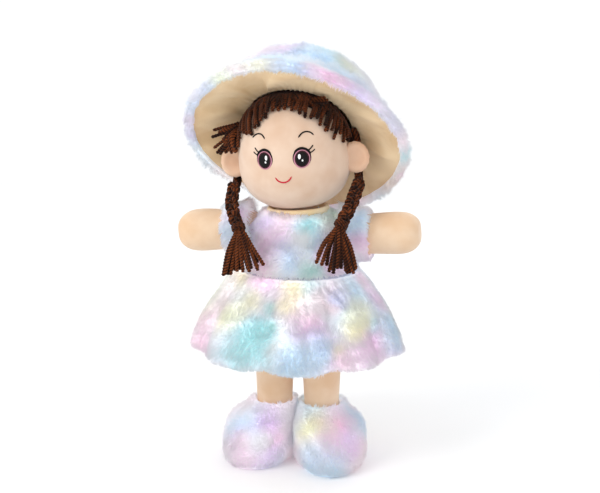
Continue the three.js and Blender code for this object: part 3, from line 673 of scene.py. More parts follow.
def ear(name, side):
    levels = np.concatenate([np.linspace(0.02, 0.9, 14), np.linspace(0.93, 1.0, 6)])
    angle = circle(56)
    rows = []
    for front in (-1, 1):
        for u in levels[::-front]:
            dish = 3.4 * math.exp(-(u / 0.62) ** 4) if front < 0 else 0.0
            y = front * EAR_HALF[1] * math.sqrt(max(0.0, 1 - u ** 2.6)) + dish + 0 * angle
            pinch = 0.25 * (u > 0.9) * np.cos(40 * angle)
            rows.append(np.stack([(EAR_HALF[0] * u + pinch) * np.cos(angle), y,
                                  (EAR_HALF[2] * u + pinch) * np.sin(angle)], axis=1))
    centre = (side * (HEAD_HALF_WIDTH + EAR_OUT), 0, EAR_HEIGHT)
    obj = closed_tube(f"{name}_ear_cloth", np.array(rows) + centre, HEAD_FRAME)
    finish_piece(obj, "head", "cotton", ear_cotton, f"{name}_ear")


for name, side in SIDES:
    ear(name, side)


# Hair

HAIR_AXIS = np.array([0, math.sin(HAIRLINE[1]), math.cos(HAIRLINE[1])])


def scalp_line(phi, lift, count):
    """Points down the head from its top to the hairline, lifted off it, in the head's frame in mm."""
    line = offset(head_profile, lift)[::-1]
    p = np.stack([line[:, 0] * math.cos(phi), HEAD_DEPTH * line[:, 0] * math.sin(phi), line[:, 1]], axis=1)
    above = (p - (0, 0, HAIRLINE[0])) @ HAIR_AXIS
    below = np.nonzero(above < 0)[0]
    stop = max(3, below[0] if len(below) else len(p))
    return smooth_path(p[:stop], count)


def scalp():
    turns = circle(96)
    outer, inner = (np.stack([scalp_line(a, lift, 30) for a in turns], axis=1) for lift in (3.0, 0.6))
    return closed_tube("scalp", np.concatenate([outer, inner[::-1]]), HEAD_FRAME)


finish_piece(scalp(), "head", "yarn", hair, "hair_cap")
rng = np.random.default_rng(5)
strands = []
for k in range(84):
    line = scalp_line(2 * math.pi * (k + 0.2 * rng.random()) / 84, 3.75, 50)
    strands.append(moved(line[(2, 14, 7, 20)[k % 4]:], HEAD_FRAME))
yarn("scalp_yarn", strands, "head", radius=1.6, sides=7, step=1.8)


def over_head(points, lifts):
    """Points in the head's frame in mm, brought onto the head and lifted off it, in metres."""
    out = []
    for p, lift in zip(points, lifts):
        hit, normal, _, _ = head_tree.find_nearest(HEAD_FRAME @ Vector(p) * MM)
        out.append(np.array(hit + normal * lift * MM))
    return np.array(out)


# The fringe comes out from under the hat's lining and ends in an arch of loose, blunt ends
FRINGE_TOP = np.array([
    (-50, 0, 76), (-46, -6, 84), (-43, -7, 87), (-34, -5, 95), (-25, -6, 100.5), (-18, -8, 102.5),
    (-7, -9, 104.6), (8.5, -12, 102.6), (23.6, -11, 98.6), (36, -7, 92.6), (48, -3, 81.6), (53, 0, 72)])
FRINGE_END = np.array([
    (-52, -18, 57), (-47, -22, 60), (-41, -27, 72.5), (-38, -29, 75.5), (-30, -35, 72), (-26, -38, 74),
    (-20.5, -35, 83), (-12.6, -32, 90), (-6.6, -30, 93.5), (5, -31, 93.8), (13, -32, 91), (19.5, -32, 88),
    (29.6, -31, 81), (35.8, -29, 78), (39, -30, 70), (46, -23.5, 64), (50.3, -15, 61), (55, -4, 58)])


def along_x(curve, x):
    return np.array([np.interp(x, curve[:, 0], curve[:, k]) if k else x for k in range(3)])


strands = []
for k in range(54):
    s = -1 + 2 * (k + rng.uniform(-0.35, 0.35)) / 53
    top = along_x(FRINGE_TOP, 49 * s + 1.5 + rng.uniform(-1.5, 1.5))
    end = along_x(FRINGE_END, 52.5 * s + 1.5 + rng.uniform(-1.2, 1.2))
    top[1] += 9
    end[2] += rng.uniform(0, 6.5) if k % 3 else rng.uniform(-2.0, 1.0)
    line = np.linspace(top, end, 14)
    line[:, 0] += 1.6 * np.sin(np.linspace(0, math.pi, 14)) * rng.uniform(-1, 1)
    thick = 1.9 + (k % 3) * 1.1 + rng.uniform(0, 0.7)
    strands.append(over_head(line, np.linspace(3.4, thick, 14)))
yarn("fringe_yarn", strands, "head", "fringe", turn=5.4, groove=0.52, step=0.9)

# Loose ends at the right temple, and a few that lie over the lining on the left
strands = []
for k in range(13):
    start = np.array([-45 - 4 * rng.random(), -10 - 6 * rng.random(), 80 - 6 * rng.random()])
    end = np.array([-48 - 13 * k / 12, -21 + 5 * k / 12, 56 + rng.uniform(-1, 3)])
    middle = (start + end) / 2 + (-3 - 2 * rng.random(), -3, 3)
    strands.append(moved(smooth_path([start, middle, end], 10), HEAD_FRAME))
for y, z, reach, drop in ((-14, 80, 20, 3), (-15, 77, 15, 2), (-16, 75, 21.5, 4), (-14, 73, 12, 5), (-17, 70, 20, 9),
                          (-16, 68, 18, 12), (-15, 78, 11, 0), (-17, 66, 15, 11)):
    strands.append(moved([(-46, y + 3, z + 2), (-50, y, z + 1), (-50 - reach * 0.5, y - 2, z - drop * 0.3),
                          (-50 - reach, y - 2, z - drop)], HEAD_FRAME))
for lift, reach in ((0, 11), (1.8, 8.5), (-1.6, 10)):
    strands.append(moved([(24, -16, 99 + lift * 0.5), (29, -19, 99.5 + lift),
                          (29 + reach, -19, 99.5 + lift * 1.3)], HEAD_FRAME))
yarn("stray_yarn", strands, "head", radius=1.7, turn=5.4, groove=0.55, step=0.9)


def beside(path, across, front, radius, angle):
    """A line that winds round a path, at a radius and an angle for its points."""
    return path + (radius * np.cos(angle))[:, None] * across + (radius * np.sin(angle))[:, None] * front


def directions(path):
    """The ways across a path and to its front, at each of its points."""
    along = unit(np.gradient(path, axis=0))
    across = unit(np.cross((0, -1, 0), along))
    return across, np.cross(along, across)


def mirrored(point, side):
    return np.array(point, float) * (side, 1, 1)


def hair_side(name, side):
    """The loose hair behind one ear, then the braid, its tie and its tassel, in the head's frame in mm."""
    out = HEAD_HALF_WIDTH + 4.8
    path = smooth_path([mirrored(p, side) for p in (
        (out - 4, 14, 68), (out, 13, 59.5), (out, 12, EAR_HEIGHT), (58, 5.5, 24.5), (59, -1.5, 21.5))], 24)
    share = np.linspace(0, 1, 24)
    across, front = directions(path)
    lines = [beside(path, across, front, 2.9 * (1 - 0.15 * share), a + side * 1.6 * share) for a in circle(6)]
    yarn(f"{name}_side_yarn", [moved(line, HEAD_FRAME) for line in lines + [path]], "head", f"{name}_side_hair")

    # The braid: three strands of three yarns that cross over in turn
    pivot, bend, knot = (mirrored(p, side) for p in (BRAID_PIVOT, BRAID_BEND, BRAID_KNOT))
    path = smooth_path([pivot + (0, 0, 5), pivot - (0, 1, 0), bend, knot], 90)
    length = np.linalg.norm(np.diff(path, axis=0), axis=1).sum()
    across, front = directions(path)
    share = np.linspace(0, 1, 90)
    narrow = np.clip(0.6 + 5 * share, 0, 1) * np.clip(0.5 + 5 * (1 - share), 0, 1)
    lines = []
    for k in range(3):
        phase = 2 * math.pi * (share * length / 22.0 + k / 3)
        centre = (path + (3.4 * narrow * np.sin(phase))[:, None] * across
                  + (1.9 * narrow * np.sin(2 * phase))[:, None] * front)
        for a in circle(3):
            line = beside(centre, across, front, 1.75 * (0.75 + 0.25 * narrow), a + 2 * math.pi * share * length / 30)
            lines.append(moved(line, HEAD_FRAME))
    yarn(f"{name}_braid_yarn", lines, f"{name}_braid_body", f"{name}_braid", radius=1.65, step=1.0)

    down = unit(path[-1] - path[-3])
    aside = unit(np.cross(down, (0, 1, 0)))
    coil = beside(knot + np.outer(np.linspace(-2.3, 2.3, 90), down), aside, 0.9 * np.cross(down, aside), 5.2,
                  np.linspace(0, 2 * math.pi * 3.2, 90))
    yarn(f"{name}_tie_yarn", [moved(coil, HEAD_FRAME)], f"{name}_braid_body", f"{name}_braid_tie", radius=1.5)

    # The tassel: cut ends that fan out over the dress, drawn in and shorter toward the middle of the doll
    rng = np.random.default_rng(11 + side)
    end = knot - (side * TASSEL_INWARD, TASSEL_FORWARD, TASSEL_DROP)
    neck = knot + down * 4.4
    shorter, drawn_in = (0.22, 7) if side < 0 else (0.3, 12)
    lines = []
    for k in range(17):
        u = -1 + 2 * (k + 0.5) / 17 + rng.uniform(-0.06, 0.06)
        v = rng.uniform(-0.8, 0.8) * math.sqrt(max(0.1, 1 - u * u))
        inner = max(0, -u * side) ** 2
        long = rng.uniform(0.86, 1.03) - shorter * inner
        foot = neck + (end + (u * 20 - side * inner * drawn_in, v * 5, 0) - neck) * long
        middle = neck * 0.55 + foot * 0.45 + (u * 3.2 + rng.uniform(-1.4, 1.4), v * 1.2 - 2.2, 0)
        lines.append(moved([knot - down * 2 + u * 2.6 * aside * side, neck + (u * 3.6, v * 2.6, 0), middle, foot],
                           HEAD_FRAME))
    yarn(f"{name}_tassel_yarn", lines, f"{name}_braid_body", f"{name}_tassel", radius=1.85, sides=10, step=0.8,
         turn=5.4, groove=0.6)


for name, side in SIDES:
    hair_side(name, side)


# Body under the dress: a stuffed bag, dented where the balls of the limbs nest

BODY_OUTLINE = [(0, 134), (34.3, 134.8), (47.04, 146), (49, 160), (45, WAIST), (37, 201), (36, SHOULDER[1]),
                (33, 231), (24, 238), (18, 242), (0, NECK)]


def body_shape(grid, angle):
    points = grid.reshape(-1, 3)
    inward = unit((0, 0, 190) - points)
    for _, side in SIDES:
        for x, z, radius in ((*SHOULDER, ARM_RADIUS + 0.6), (*HIP, LEG_RADIUS + 0.6)):
            far = points - (side * x, 0, z)
            inside = np.linalg.norm(far, axis=1) < radius
            along = (far * inward).sum(1)
            move = -along + np.sqrt(np.maximum(along ** 2 - (far ** 2).sum(1) + radius ** 2, 0))
            points = np.where(inside[:, None], points + inward * move[:, None], points)
    return points.reshape(grid.shape)


profile = smooth_path(BODY_OUTLINE, 90)
profile[0, 0] = profile[-1, 0] = POLE
torso = revolve("torso", profile, 120, BODY_DEPTH, shape=body_shape)
finish_piece(torso, "trunk", "cotton", body_cotton, "body_skin")


# Limbs: stuffed cotton with a sunk seam on two sides and round the end

def limb(name, outline, matrix, body, replaced, seed, ease=0.0):
    """ease squares the end a little, as in a mitten. The outline's last point is on the axis."""
    def shape(grid, angle):
        z, flat = grid[..., 2], grid[..., :2]
        seam = np.exp(-(np.sin(angle) / 0.045) ** 2)[None]
        pucker = 0.12 * np.sin(z / 0.9) * np.exp(-(np.sin(angle) / 0.12) ** 2)[None]
        soft = 0.4 * np.sin(2 * angle + seed)[None] * np.sin(z / 19 + seed)
        square = ease * (np.sin(2 * angle) ** 2)[None] * np.clip((z - 30) / 30, 0, 1)
        amount = (soft + pucker + square - 0.75 * seam) * np.clip(grid[..., 0:1].max(axis=1) / 8, 0, 1)
        return np.concatenate([flat + unit(flat) * amount[..., None], grid[..., 2:]], axis=-1)

    profile = smooth_path(outline, 90)
    profile[-1, 0] = POLE
    obj = revolve(name, profile, 112, 1.0, matrix, shape)
    finish_piece(obj, body, "limb_cotton", limb_cotton, replaced)


def ball(radius, *angles):
    return [(radius * math.cos(a), radius * math.sin(a)) for a in angles]


ARM_OUTLINE = ball(ARM_RADIUS, -1.15, -0.55) + [(ARM_RADIUS, 0), (18.6, 17), (19.7, 42.2), (17.5, 55), (10.5, 62.8),
                                                (0, 64)]
LEG_OUTLINE = [(16, -79), (16.8, -68), (LEG_RADIUS, -38.2), (LEG_RADIUS, 0)] + ball(LEG_RADIUS, 0.6, 1.15) + [
    (0, LEG_RADIUS)]


def arm_frame(side):
    return (Matrix.Translation((side * SHOULDER[0], 0, SHOULDER[1]))
            @ Matrix.Rotation(side * math.pi / 2 - LEAN, 4, "Y"))


for name, side in SIDES:
    limb(f"{name}_arm_cloth", ARM_OUTLINE, arm_frame(side), f"{name}_arm", f"{name}_arm_skin", 1.3 + side, 0.9)
    limb(f"{name}_leg_cloth", LEG_OUTLINE, Matrix.Translation((side * HIP[0], 0, HIP[1])), f"{name}_leg",
         f"{name}_leg_skin", 0.6 + side)


# Dress

def hump(value, middle, width):
    """A smooth rise and fall about the middle, up to 1."""
    return np.exp(-((value - middle) / width) ** 2)


def round_doll(z_low, z_high, x, y):
    """Gives random places on the back and sides of a garment."""
    def place(rng):
        turn = rng.uniform(-0.15, math.pi + 0.15)
        return x * math.cos(turn), y * math.sin(turn), rng.uniform(z_low, z_high)
    return place


BODICE_SPOTS = random_spots(3, 9, round_doll(194, 236, 46, 40), (15, 24)) + dye(
    (-42, -15, 227, 10, LILAC), (-25, -30, 234, 8, LILAC), (-4, -35, 231, 8, PINK), (17, -32, 233, 8, AQUA),
    (26, -34, 217, 7, SKY), (40, -22, 212, 9, PINK), (36, -26, 198, 8, ROSE), (-19, -36, 214, 8, ROSE),
    (-4, -40, 213, 8, LILAC), (11, -39, 221, 6, WHITE), (-36, -22, 204, 9, LILAC), (-25, -36, 194, 6, PINK),
    (2, -41, 201, 9, SKY), (-46, -6, 204, 9, SKY), (23, -39, 193, 6, TEAL))
SKIRT_SPOTS = random_spots(7, 26, round_doll(112, 184, 88, 84), (20, 34)) + dye(
    (-68, -23, 167, 13, WHITE), (-81, -43, 124, 12, PINK), (-62, -52, 132, 9, WHITE), (-54, -56, 154, 9, YELLOW),
    (-46, -32, 181, 7, YELLOW), (-33, -55, 168, 7, YELLOW), (-30, -39, 185, 7, PINK), (-20, -46, 186, 6, ROSE),
    (-31, -78, 134, 10, AQUA), (-16, -78, 129, 9, AQUA), (-38, -84, 121, 8, AQUA), (-26, -71, 147, 7, AQUA),
    (-14, -70, 146, 7, AQUA), (-11, -60, 165, 4, TEAL), (-9, -70, 150, 3, TEAL), (3, -73, 151, 5, WHITE),
    (0, -82, 133, 6, WHITE), (5, -47, 185, 6, YELLOW), (13, -50, 180, 6, YELLOW), (5, -61, 169, 6, YELLOW),
    (27, -55, 172, 8, WHITE), (25, -46, 185, 6, AQUA), (59, -28, 175, 8, SKY), (44, -44, 174, 5, DUSK),
    (51, -44, 166, 4, DUSK), (33, -70, 144, 7, PINK), (23, -72, 148, 8, ROSE), (69, -43, 156, 9, YELLOW),
    (63, -52, 146, 7, YELLOW), (26, -86, 126, 12, SKY), (14, -90, 119, 8, SKY), (38, -74, 133, 9, SKY),
    (53, -67, 132, 4, YELLOW), (62, -69, 122, 9, PINK), (78, -45, 126, 9, ROSE), (77, -6, 161, 8, ROSE),
    (63, -6, 179, 7, PINK), (91, -11, 138, 7, SKY), (96, -15, 124, 7, SKY), (84, -38, 145, 5, AQUA))
# Both piles glow faintly with painted light in their own colours
bodice_plush = dyed_plush("bodice_plush", BODICE_SPOTS, ground="F8F3F3", depth=0.72, painted_light_glow=0.15)
# The skirt's pile also has a line of painted shadow just below the waist seam
skirt_plush = dyed_plush("skirt_plush", SKIRT_SPOTS, depth=0.56, painted_light_glow=0.14, seam=WAIST - 2.4)


def facing_out(p, n, flat):
    """How far normals point away from the doll's axis, for a section that is flattened as told."""
    return (n * unit(p * (1, flat, 0))).sum(1)


def waist_swell(p, n):
    return (3.4 * hump(p[:, 2], WAIST + 5, 6) * (p[:, 2] > WAIST + 0.8)
            * np.clip(facing_out(p, n, 1 / BODY_DEPTH ** 2), 0, 1))


bodice = softened("bodice_cloth", "bodice", 1.7, 5, "trunk", bodice_plush)
swell(bodice, waist_swell)


# How close to the shoulder the bodice's pile comes
ARMHOLE = 22.6


def from_shoulder(p):
    """The distance of points from the shoulder on their own side."""
    return np.linalg.norm(p * (np.sign(p[:, :1]) * (1, 0, 0) + (0, 1, 1)) - (SHOULDER[0], 0, SHOULDER[1]), axis=1)


def bodice_outside(p, n):
    side_or_top = (facing_out(p, n, 1 / BODY_DEPTH ** 2) > 0.15) | (n[:, 2] > 0.2) & (p[:, 2] > SHOULDER[1] + 4)
    return side_or_top & (from_shoulder(p) > ARMHOLE) & (p[:, 2] > WAIST + 0.6)


def bodice_comb(p, n):
    """Up at the neckline, down below it, and out over the armholes and at the waist."""
    out = np.sign(p[:, 0]) * 2.6 * hump(from_shoulder(p), ARMHOLE + 1.4, 7)
    flare = p * (1, 1.3, 0) / 50 * hump(p[:, 2:], WAIST + 1, 5)
    return np.stack([out, 0 * out, np.clip((p[:, 2] - (NECK - 7)) / 6, -1, 0.3)], axis=1) + flare


def bodice_longer(p):
    edge = hump(from_shoulder(p), ARMHOLE + 1.4, 3) * (p[:, 2] > SHOULDER[1] - 20)
    return 1 + 0.15 * hump(p[:, 2], WAIST + 2, 4) + edge


bodice_fur = pile("bodice_pile", bodice, bodice_outside, "trunk", bodice_plush, 44000, 6.8, 21, width=0.7,
                  comb=bodice_comb, tuft=2.3, rise=0.5, spread=0.5, clump=0.52, longer=bodice_longer)


def neck_roll():
    """A rolled binding that follows the lean of the head."""
    angle = circle(120)
    gather = 0.15 * np.cos(48 * angle)
    rows = []
    for a in circle(14):
        r = 27 + (2.3 + gather) * math.cos(a)
        x = r * np.cos(angle)
        z = NECK - 1.8 + 0.06 * x + (3.3 + gather) * math.sin(a)
        rows.append(np.stack([x, BODY_DEPTH * r * np.sin(angle), z], axis=1))
    return closed_ring("neck_roll", rows)


neck = finish_piece(neck_roll(), "trunk", "lining", binding, "neck_binding")

SKIRT_TOP, SKIRT_HEM, SKIRT_LENGTH, SKIRT_DEPTH, HEM_END = 55.45, 97, 75, 0.95, 111.5


def ridge(angle, place, before, after):
    """One fold's rise across an angle, with its own width on each side."""
    away = np.angle(np.exp(1j * (angle - place)))
    return hump(away, 0, np.where(away < 0, before, after))


# Folds of the front, as angle from the middle, rise and the widths of both sides
FRONT_FOLDS = [(-0.10, -3.4, 0.16, 0.07), (0.05, 2.4, 0.06, 0.16), (0.27, -1.8, 0.09, 0.04),
               (0.57, -2.4, 0.12, 0.05), (1.02, -2.6, 0.10, 0.07), (-0.52, -2.4, 0.08, 0.12),
               (-0.95, -2.4, 0.08, 0.10)]
FRONT = -math.pi / 2


def skirt_ring(t, inset, angle):
    """One ring of the skirt, t of the way down. An inset above 0 gives the inner face."""
    depth = BODY_DEPTH + (SKIRT_DEPTH - BODY_DEPTH) * t
    smooth = SKIRT_TOP + (SKIRT_HEM - SKIRT_TOP) * math.sin(t * 1.25) / math.sin(1.25)
    fold = np.cos(9 * angle + 0.9 * np.sin(2 * angle + 1))
    gather = 0.7 * (1 - t) ** 2 * np.cos(46 * angle + 2 * np.sin(5 * angle)) * (-0.3 if inset else 1)
    deep = 3.7 * t + 1.6 * math.sin(math.pi * min(1, t * 1.6)) * np.sin(5 * angle + 0.7)
    front = sum(rise * ridge(angle, place + FRONT, before, after) for place, rise, before, after in FRONT_FOLDS)
    slant = 3.6 * hump(t, 0.2, 0.13) * ridge(angle, 0.5 + 1.1 * t + FRONT, 0.05, 0.05)
    seam = 0 if inset else 4.2 * hump(t, 0, 0.05)
    radius = smooth - inset + deep * fold + gather + front * min(1, 2.4 * t) - slant - seam
    z = WAIST - 0.15 - (SKIRT_LENGTH * t + 0.7 * t * t * fold)
    return np.stack([radius * np.cos(angle), depth * radius * np.sin(angle), z], axis=1)


def skirt():
    angle, steps = circle(270), np.linspace(0, 1, 40)
    outer = [skirt_ring(t, 0, angle) for t in steps]
    inner = [skirt_ring(t, 10 - 6 * min(t * 3, 1), angle) for t in steps[::-1]]
    hem = [outer[-1] * (1 - share) + inner[0] * share - (0, 0, 0.7) for share in (0.25, 0.7)]
    return closed_ring("skirt_cloth", outer + hem + inner)


skirt_cloth = finish_piece(skirt(), "trunk", "plush", skirt_plush, "skirt")


def above_hem(p, root):
    """Eases the ends that hang under the hem."""
    p = p.copy()
    low = HEM_END * MM
    p[:, 2] = np.where(p[:, 2] < low, low + (p[:, 2] - low) * 0.3, p[:, 2])
    return p


def skirt_outside(p, n):
    under = (p[:, 2] < HEM_END + 2.1) & (n[:, 2] < -0.4)
    return (facing_out(p, n, 1.15) > 0.05) & (p[:, 2] < WAIST - 3.4) | under


skirt_fur = pile("skirt_pile", skirt_cloth, skirt_outside, "trunk", skirt_plush, 66000, 7.2, 22, lie=0.75, tuft=2.4,
                 limit=above_hem, longer=lambda p: 0.5 + 0.5 * np.clip((WAIST - 2 - p[:, 2]) / 14, 0, 1))


# Sleeves and shoes

def in_box(side, x, y, z):
    """Gives random places on one side of the doll, between limits of x, y and z."""
    return lambda rng: (side * rng.uniform(*x), rng.uniform(*y), rng.uniform(*z))


SLEEVE_DYE = {1: dye((63, -13, 242, 6, SKY), (59, -23, 231, 7, SKY), (63, -24, 220, 6, ROSE),
                     (68, -19, 208, 6, PINK)),
              -1: dye((-53, -20, 240, 7, LILAC), (-50, -19, 236, 5, PINK), (-62, -25, 216, 8, SKY))}
SHOE_DYE = {1: dye((21, -41, 43, 12, YELLOW), (48, -24, 46, 10, PINK), (59, -42, 28, 10, LILAC),
                   (40, -51, 37, 7, PINK), (25, -52, 14, 11, SKY), (49, -53, 9, 8, SKY)),
            -1: dye((-46, -43, 40, 12, SKY), (-23, -36, 47, 8, LILAC), (-43, -56, 16, 11, PINK),
                    (-9, -36, 26, 9, PINK), (-17, -45, 6, 8, LILAC), (-26, -52, 30, 7, WHITE))}


def sleeve(name, side):
    spots = random_spots(5 + side, 4, in_box(side, (50, 68), (0, 24), (200, 240)), (12, 18)) + SLEEVE_DYE[side]
    plush = dyed_plush(f"{name}_sleeve_plush", spots, depth=0.72)
    cloth = softened(f"{name}_sleeve_cloth", f"{name}_sleeve", 1.3, 4, f"{name}_arm", plush)
    arm = arm_frame(side)
    to_arm = arm.inverted()

    def outside(p, n):
        around = moved(p, to_arm, 1)[:, :2]
        turned = (n @ np.array(arm)[:3, :3])[:, :2]
        return (np.linalg.norm(around, axis=1) > ARM_RADIUS + 1.6) & ((turned * unit(around)).sum(1) > 0.1)

    def comb(p, n):
        along = moved(p, to_arm, 1)[:, 2:]
        return (side, 0, 0) * np.clip((along - 4) / 3, -3.0, 0.5) + (0, 0, -0.7)

    def longer(p):
        return 1 + 1.4 * hump(moved(p, to_arm, 1)[:, 2], -1, 3)

    fur = pile(f"{name}_sleeve_pile", cloth, outside, f"{name}_arm", plush, 13000, 6.2, 31 + side, comb=comb,
               longer=longer)


def shoe(name, side):
    middle = np.array([side * 34, -12, 20])
    leg = np.array([side * HIP[0], 0])
    spots = random_spots(9 + side, 7, in_box(side, (8, 62), (-8, 30), (5, 50)), (14, 22)) + SHOE_DYE[side]
    # The shoe's pile glows a little more than the others, with painted light
    plush = dyed_plush(f"{name}_shoe_plush", spots, depth=0.64, painted_light_glow=0.18)

    def rounder(p, n):
        return (3.0 * hump(p[:, 2], 33, 9) * np.clip((side * p[:, 0] - 6) / 12, 0, 1)
                * np.clip(((p - middle) * n).sum(1) / 10, 0, 1))

    cloth = softened(f"{name}_shoe_cloth", f"{name}_shoe_upper", 1.8, 6, f"{name}_leg", plush)
    swell(cloth, rounder)
    sole = softened(f"{name}_sole_cloth", f"{name}_shoe_sole", 1.2, 2, f"{name}_leg", plush)

    def outside(p, n):
        near_leg = np.linalg.norm(p[:, :2] - leg, axis=1) < LEG_RADIUS + 0.2
        return ((n * (p - middle)).sum(1) > 0) & ~(near_leg & (p[:, 2] > 38)) & (p[:, 2] > 2.5)

    def hold(p, root):
        """Keeps the ends above the floor, on their own side of the doll and out of the leg."""
        p = p / MM
        p[:, 2] = np.maximum(p[:, 2], 0.4)
        p[:, 0] = side * np.maximum(side * p[:, 0], 0.25)
        far = np.linalg.norm(p[:, :2] - leg, axis=1, keepdims=True)
        inner = LEG_RADIUS - 0.6
        inside = (far < inner) & (p[:, 2:] > 40)
        p[:, :2] = np.where(inside, leg + (p[:, :2] - leg) * (inner / np.maximum(far, 1e-6)), p[:, :2])
        return p * MM

    pile(f"{name}_shoe_pile", cloth, outside, f"{name}_leg", plush, 42000, 6.8, 41 + side, rise=0.66, lie=0.55,
         tuft=2.2, clump=0.5, comb=lambda p, n: (p - (side * 25, 2, 60)) / 34, limit=hold,
         longer=lambda p: 1 + 0.25 * hump(p[:, 2], 38, 9))


for name, side in SIDES:
    sleeve(name, side)
    shoe(name, side)

# Solids that stay as they are, inside the soft pieces
for node_name, node in nodes.items():
    if node_name.endswith(("_filling", "_sole_board")):
        node.data.materials.clear()
        node.data.materials.append(fibre if node_name.endswith("_filling") else card)


# Hat: plush outside, and a lining that is gathered where the brim meets the crown

def around_hat(rng):
    """A random place on the outside of the hat."""
    turn = rng.uniform(0, 2 * math.pi)
    r = rng.uniform(10, 92)
    return tuple(HAT_FRAME @ Vector((r * math.cos(turn), r * math.sin(turn), 70 - 0.7 * r * (r / 92))))


HAT_SPOTS = random_spots(13, 22, around_hat, (20, 32)) + dye(
    (-1, 1, 392, 8, LILAC), (-13, -13, 390, 6, PINK), (21, -16, 386, 11, SKY), (-14, -37, 384, 8, SKY),
    (7, -71, 379, 8, SKY), (21, -66, 374, 7, DUSK), (46, -67, 371, 9, ROSE), (67, -56, 355, 10, LILAC),
    (48, -3, 372, 8, YELLOW), (60, 1, 361, 9, WHITE), (86, -25, 330, 11, SKY), (97, -12, 309, 7, WHITE),
    (97, 3, 297, 5, AQUA), (92, 23, 271, 6, ROSE), (72, 46, 248, 6, SKY), (-21, -71, 380, 8, YELLOW),
    (-50, -55, 368, 8, YELLOW), (-74, -44, 354, 9, SKY), (-87, -33, 341, 8, SKY), (-96, -20, 322, 8, PINK),
    (-99, -8, 306, 7, LILAC))
hat_plush = dyed_plush("hat_plush", HAT_SPOTS, depth=0.42)
crown = softened("hat_crown_cloth", "hat_crown", 2.2, 8, "hat", hat_plush)
brim = softened("hat_brim_cloth", "hat_brim", 1.8, 6, "hat", hat_plush)
TO_HAT = HAT_FRAME.inverted()
HAT_AXES = np.array(HAT_FRAME)[:3, :3]


def hat_place(p):
    """Points in the hat's own frame, and their distance from its axis."""
    local = moved(p, TO_HAT, 1)
    return local, np.hypot(local[:, 0], local[:, 1])


def hat_facing(p, n):
    """Distance from the hat's axis and height, and how far the normals point out and up."""
    local, r = hat_place(p)
    turned = n @ HAT_AXES
    return r, local[:, 2], (turned[:, :2] * local[:, :2]).sum(1) / np.maximum(r, 1e-6), turned[:, 2]


def fuller(most):
    """Fills the angle between the crown and the brim with a soft curve, by up to most mm."""
    def rise(p, n):
        r, height, out, up = hat_facing(p, n)
        return most * np.clip(out + up, 0, 1) * hump(r, 77, 10) * hump(height, 27, 11)
    return rise


def clear_of_lining(p, n):
    """Keeps the inner face of the crown's plush outside its lining, in the corner under the flat top."""
    r, height, out, up = hat_facing(p, n)
    return -2.2 * np.clip(-(out + up), 0, 1) * hump(r, 57.5, 8) * hump(height, 48, 8)


swell(crown, clear_of_lining)
swell(crown, fuller(6.0))
swell(brim, fuller(8.0))


def crown_outside(p, n):
    _, height, out, up = hat_facing(p, n)
    return (out * 0.7 + up > 0.1) & (height > 27)


def brim_outside(p, n):
    """The top and the edge, but not the edge's lower face at the right, where the brim rolls up."""
    r, _, out, up = hat_facing(p, n)
    rolled_up = (p[:, 0] < -60) & (p[:, 2] < 294)
    return (up + out * 0.7 > 0.0) & (r > 70) | (r > RIM - 6.5) & ~rolled_up


def hat_comb(p, n):
    """Away from the top of the crown, and over the brim toward its rim."""
    local, r = hat_place(p)
    return np.stack([local[:, 0], local[:, 1], -0.6 * r], axis=1) @ HAT_AXES.T


def hat_longer(p):
    """Fuller where the crown meets the brim, and at the top."""
    local, r = hat_place(p)
    corner = hump(r, 78, 10) * hump(local[:, 2], 31, 12)
    return 1 + 0.5 * corner + 0.3 * np.clip((local[:, 2] - 60) / 12, 0, 1)


crown_fur = pile("hat_crown_pile", crown, crown_outside, "hat", hat_plush, 60000, 6.8, 51, rise=0.55, comb=hat_comb,
                 longer=hat_longer)
brim_fur = pile("hat_brim_pile", brim, brim_outside, "hat", hat_plush, 64000, 6.8, 52, rise=0.55, comb=hat_comb,
                longer=hat_longer)

# The height that the crown's lining reaches over the head, from the solid's own top
SEAT = moved(read(nodes["hat_crown_lining"].data.vertices, "co") / MM, TO_HAT, 1)[:, 2].max() - 1.3

# Folds of the brim's lining: angle, slant along the fold, rise and the widths of both sides
LINING_FOLDS = [(-1.62, 0.42, 7.5, 0.03, 0.34), (-1.08, 0.1, 3.4, 0.03, 0.22), (-0.38, 0.0, 3.6, 0.05, 0.16),
                (0.2, -0.2, 3.2, 0.09, 0.05), (0.55, -0.2, 2.6, 0.05, 0.09), (2.95, 0.15, 5.6, 0.14, 0.04),
                (-2.75, 0.2, 4.4, 0.20, 0.05), (-2.25, 0.2, 2.6, 0.16, 0.05), (2.4, 0.0, 2.6, 0.09, 0.06),
                (1.5, 0.0, 2.4, 0.1, 0.08)]


def shape_brim(grid):
    """The brim's wider front, its waves, and the throat that closes round the head."""
    x, y, z = grid[..., 0], grid[..., 1], grid[..., 2]
    r = np.hypot(x, y)
    angle = np.arctan2(x, -y)
    start = BAND + 2 * BRIM_PLUSH
    reach = np.maximum(0, (r - start) / (RIM - start)) ** 2
    wider = 1 + np.cos(angle) * reach / RIM
    closing = np.maximum(0, (BAND - r) / (BAND - THROAT[0]))
    return np.stack([x * wider + THROAT[2] * closing, y * wider + THROAT[3] * closing,
                     z + 2.5 * reach * np.cos(3 * angle + 0.6)], axis=-1)


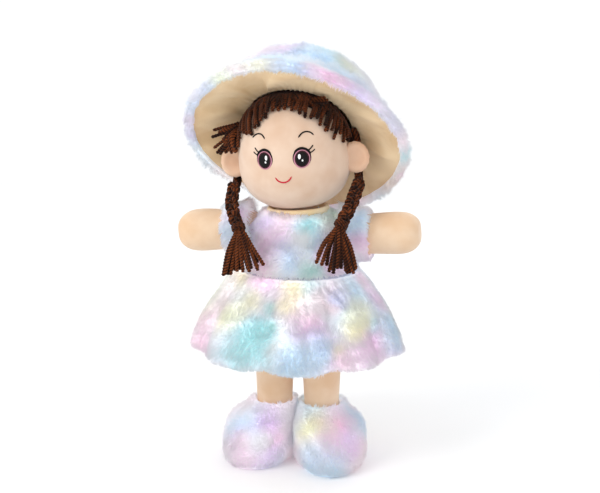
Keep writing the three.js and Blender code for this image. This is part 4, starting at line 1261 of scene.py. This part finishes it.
def brim_lining():
    count = 44
    inside = smooth_path([(RIM - BRIM_PLUSH, 1.2), (BAND + 22, BRIM_HEIGHT * 0.36), (BAND + 11, BRIM_HEIGHT * 0.7),
                          (BAND, BRIM_HEIGHT), THROAT[:2]], count)
    normal = unit(offset(inside, 1.0) - inside)
    share = np.linspace(0, 1, count)[:, None]
    angle = circle(360)
    gathers = 0.55 * (1 + 0.7 * np.sin(7 * angle)) * np.cos(58 * angle + 3 * np.sin(4 * angle))
    folds = sum(rise * ridge(angle + slant * share, place, before, after)
                for place, slant, rise, before, after in LINING_FOLDS)
    rounded = np.sin(math.pi * np.minimum(share * 1.05, 1))
    wave = share ** 1.5 * 0.6 * np.maximum(gathers, -0.5) + rounded * folds + 0.1
    wave = np.clip(wave, -0.2, 7.5) * np.clip(share * 8, 0, 1)
    faces = []
    for move in (-wave, 1.1 - 0.85 * wave):
        r, z = (inside[:, k, None] + normal[:, k, None] * move for k in (0, 1))
        faces.append(np.stack([r * np.cos(angle), r * np.sin(angle), z], axis=-1))
    return closed_ring("hat_brim_inside", shape_brim(np.concatenate([faces[0], faces[1][::-1]])), HAT_FRAME)


def crown_lining():
    top = SEAT - 9
    inside = smooth_path([(BAND - 1.4, BRIM_HEIGHT + 0.9), (BAND - 1.8, BRIM_HEIGHT + 5),
                          (BAND - 3, (BRIM_HEIGHT + top) / 2 + 1), (BAND - 5, top + 1), (42, SEAT - 1.6),
                          (30, SEAT), (15, SEAT), (POLE, SEAT)], 60)
    outer = offset(inside, 1.2)
    outer[-1, 0] = POLE

    def shape(grid, angle):
        pull = 0.4 * np.clip(1 - (grid[..., 2] - BRIM_HEIGHT) / 12, 0, 1) * np.cos(58 * angle)
        scale = 1 - np.maximum(pull, 0) / np.maximum(np.hypot(grid[..., 0], grid[..., 1]), 1)
        return grid * np.stack([scale, scale, np.ones_like(scale)], axis=-1)

    return revolve("hat_crown_inside", np.vstack([inside[::-1], outer]), 180, 1.0, HAT_FRAME, shape)


brim_inside = finish_piece(brim_lining(), "hat", "lining", lining, "hat_brim_lining")
crown_inside = finish_piece(crown_lining(), "hat", "lining", lining, "hat_crown_lining")
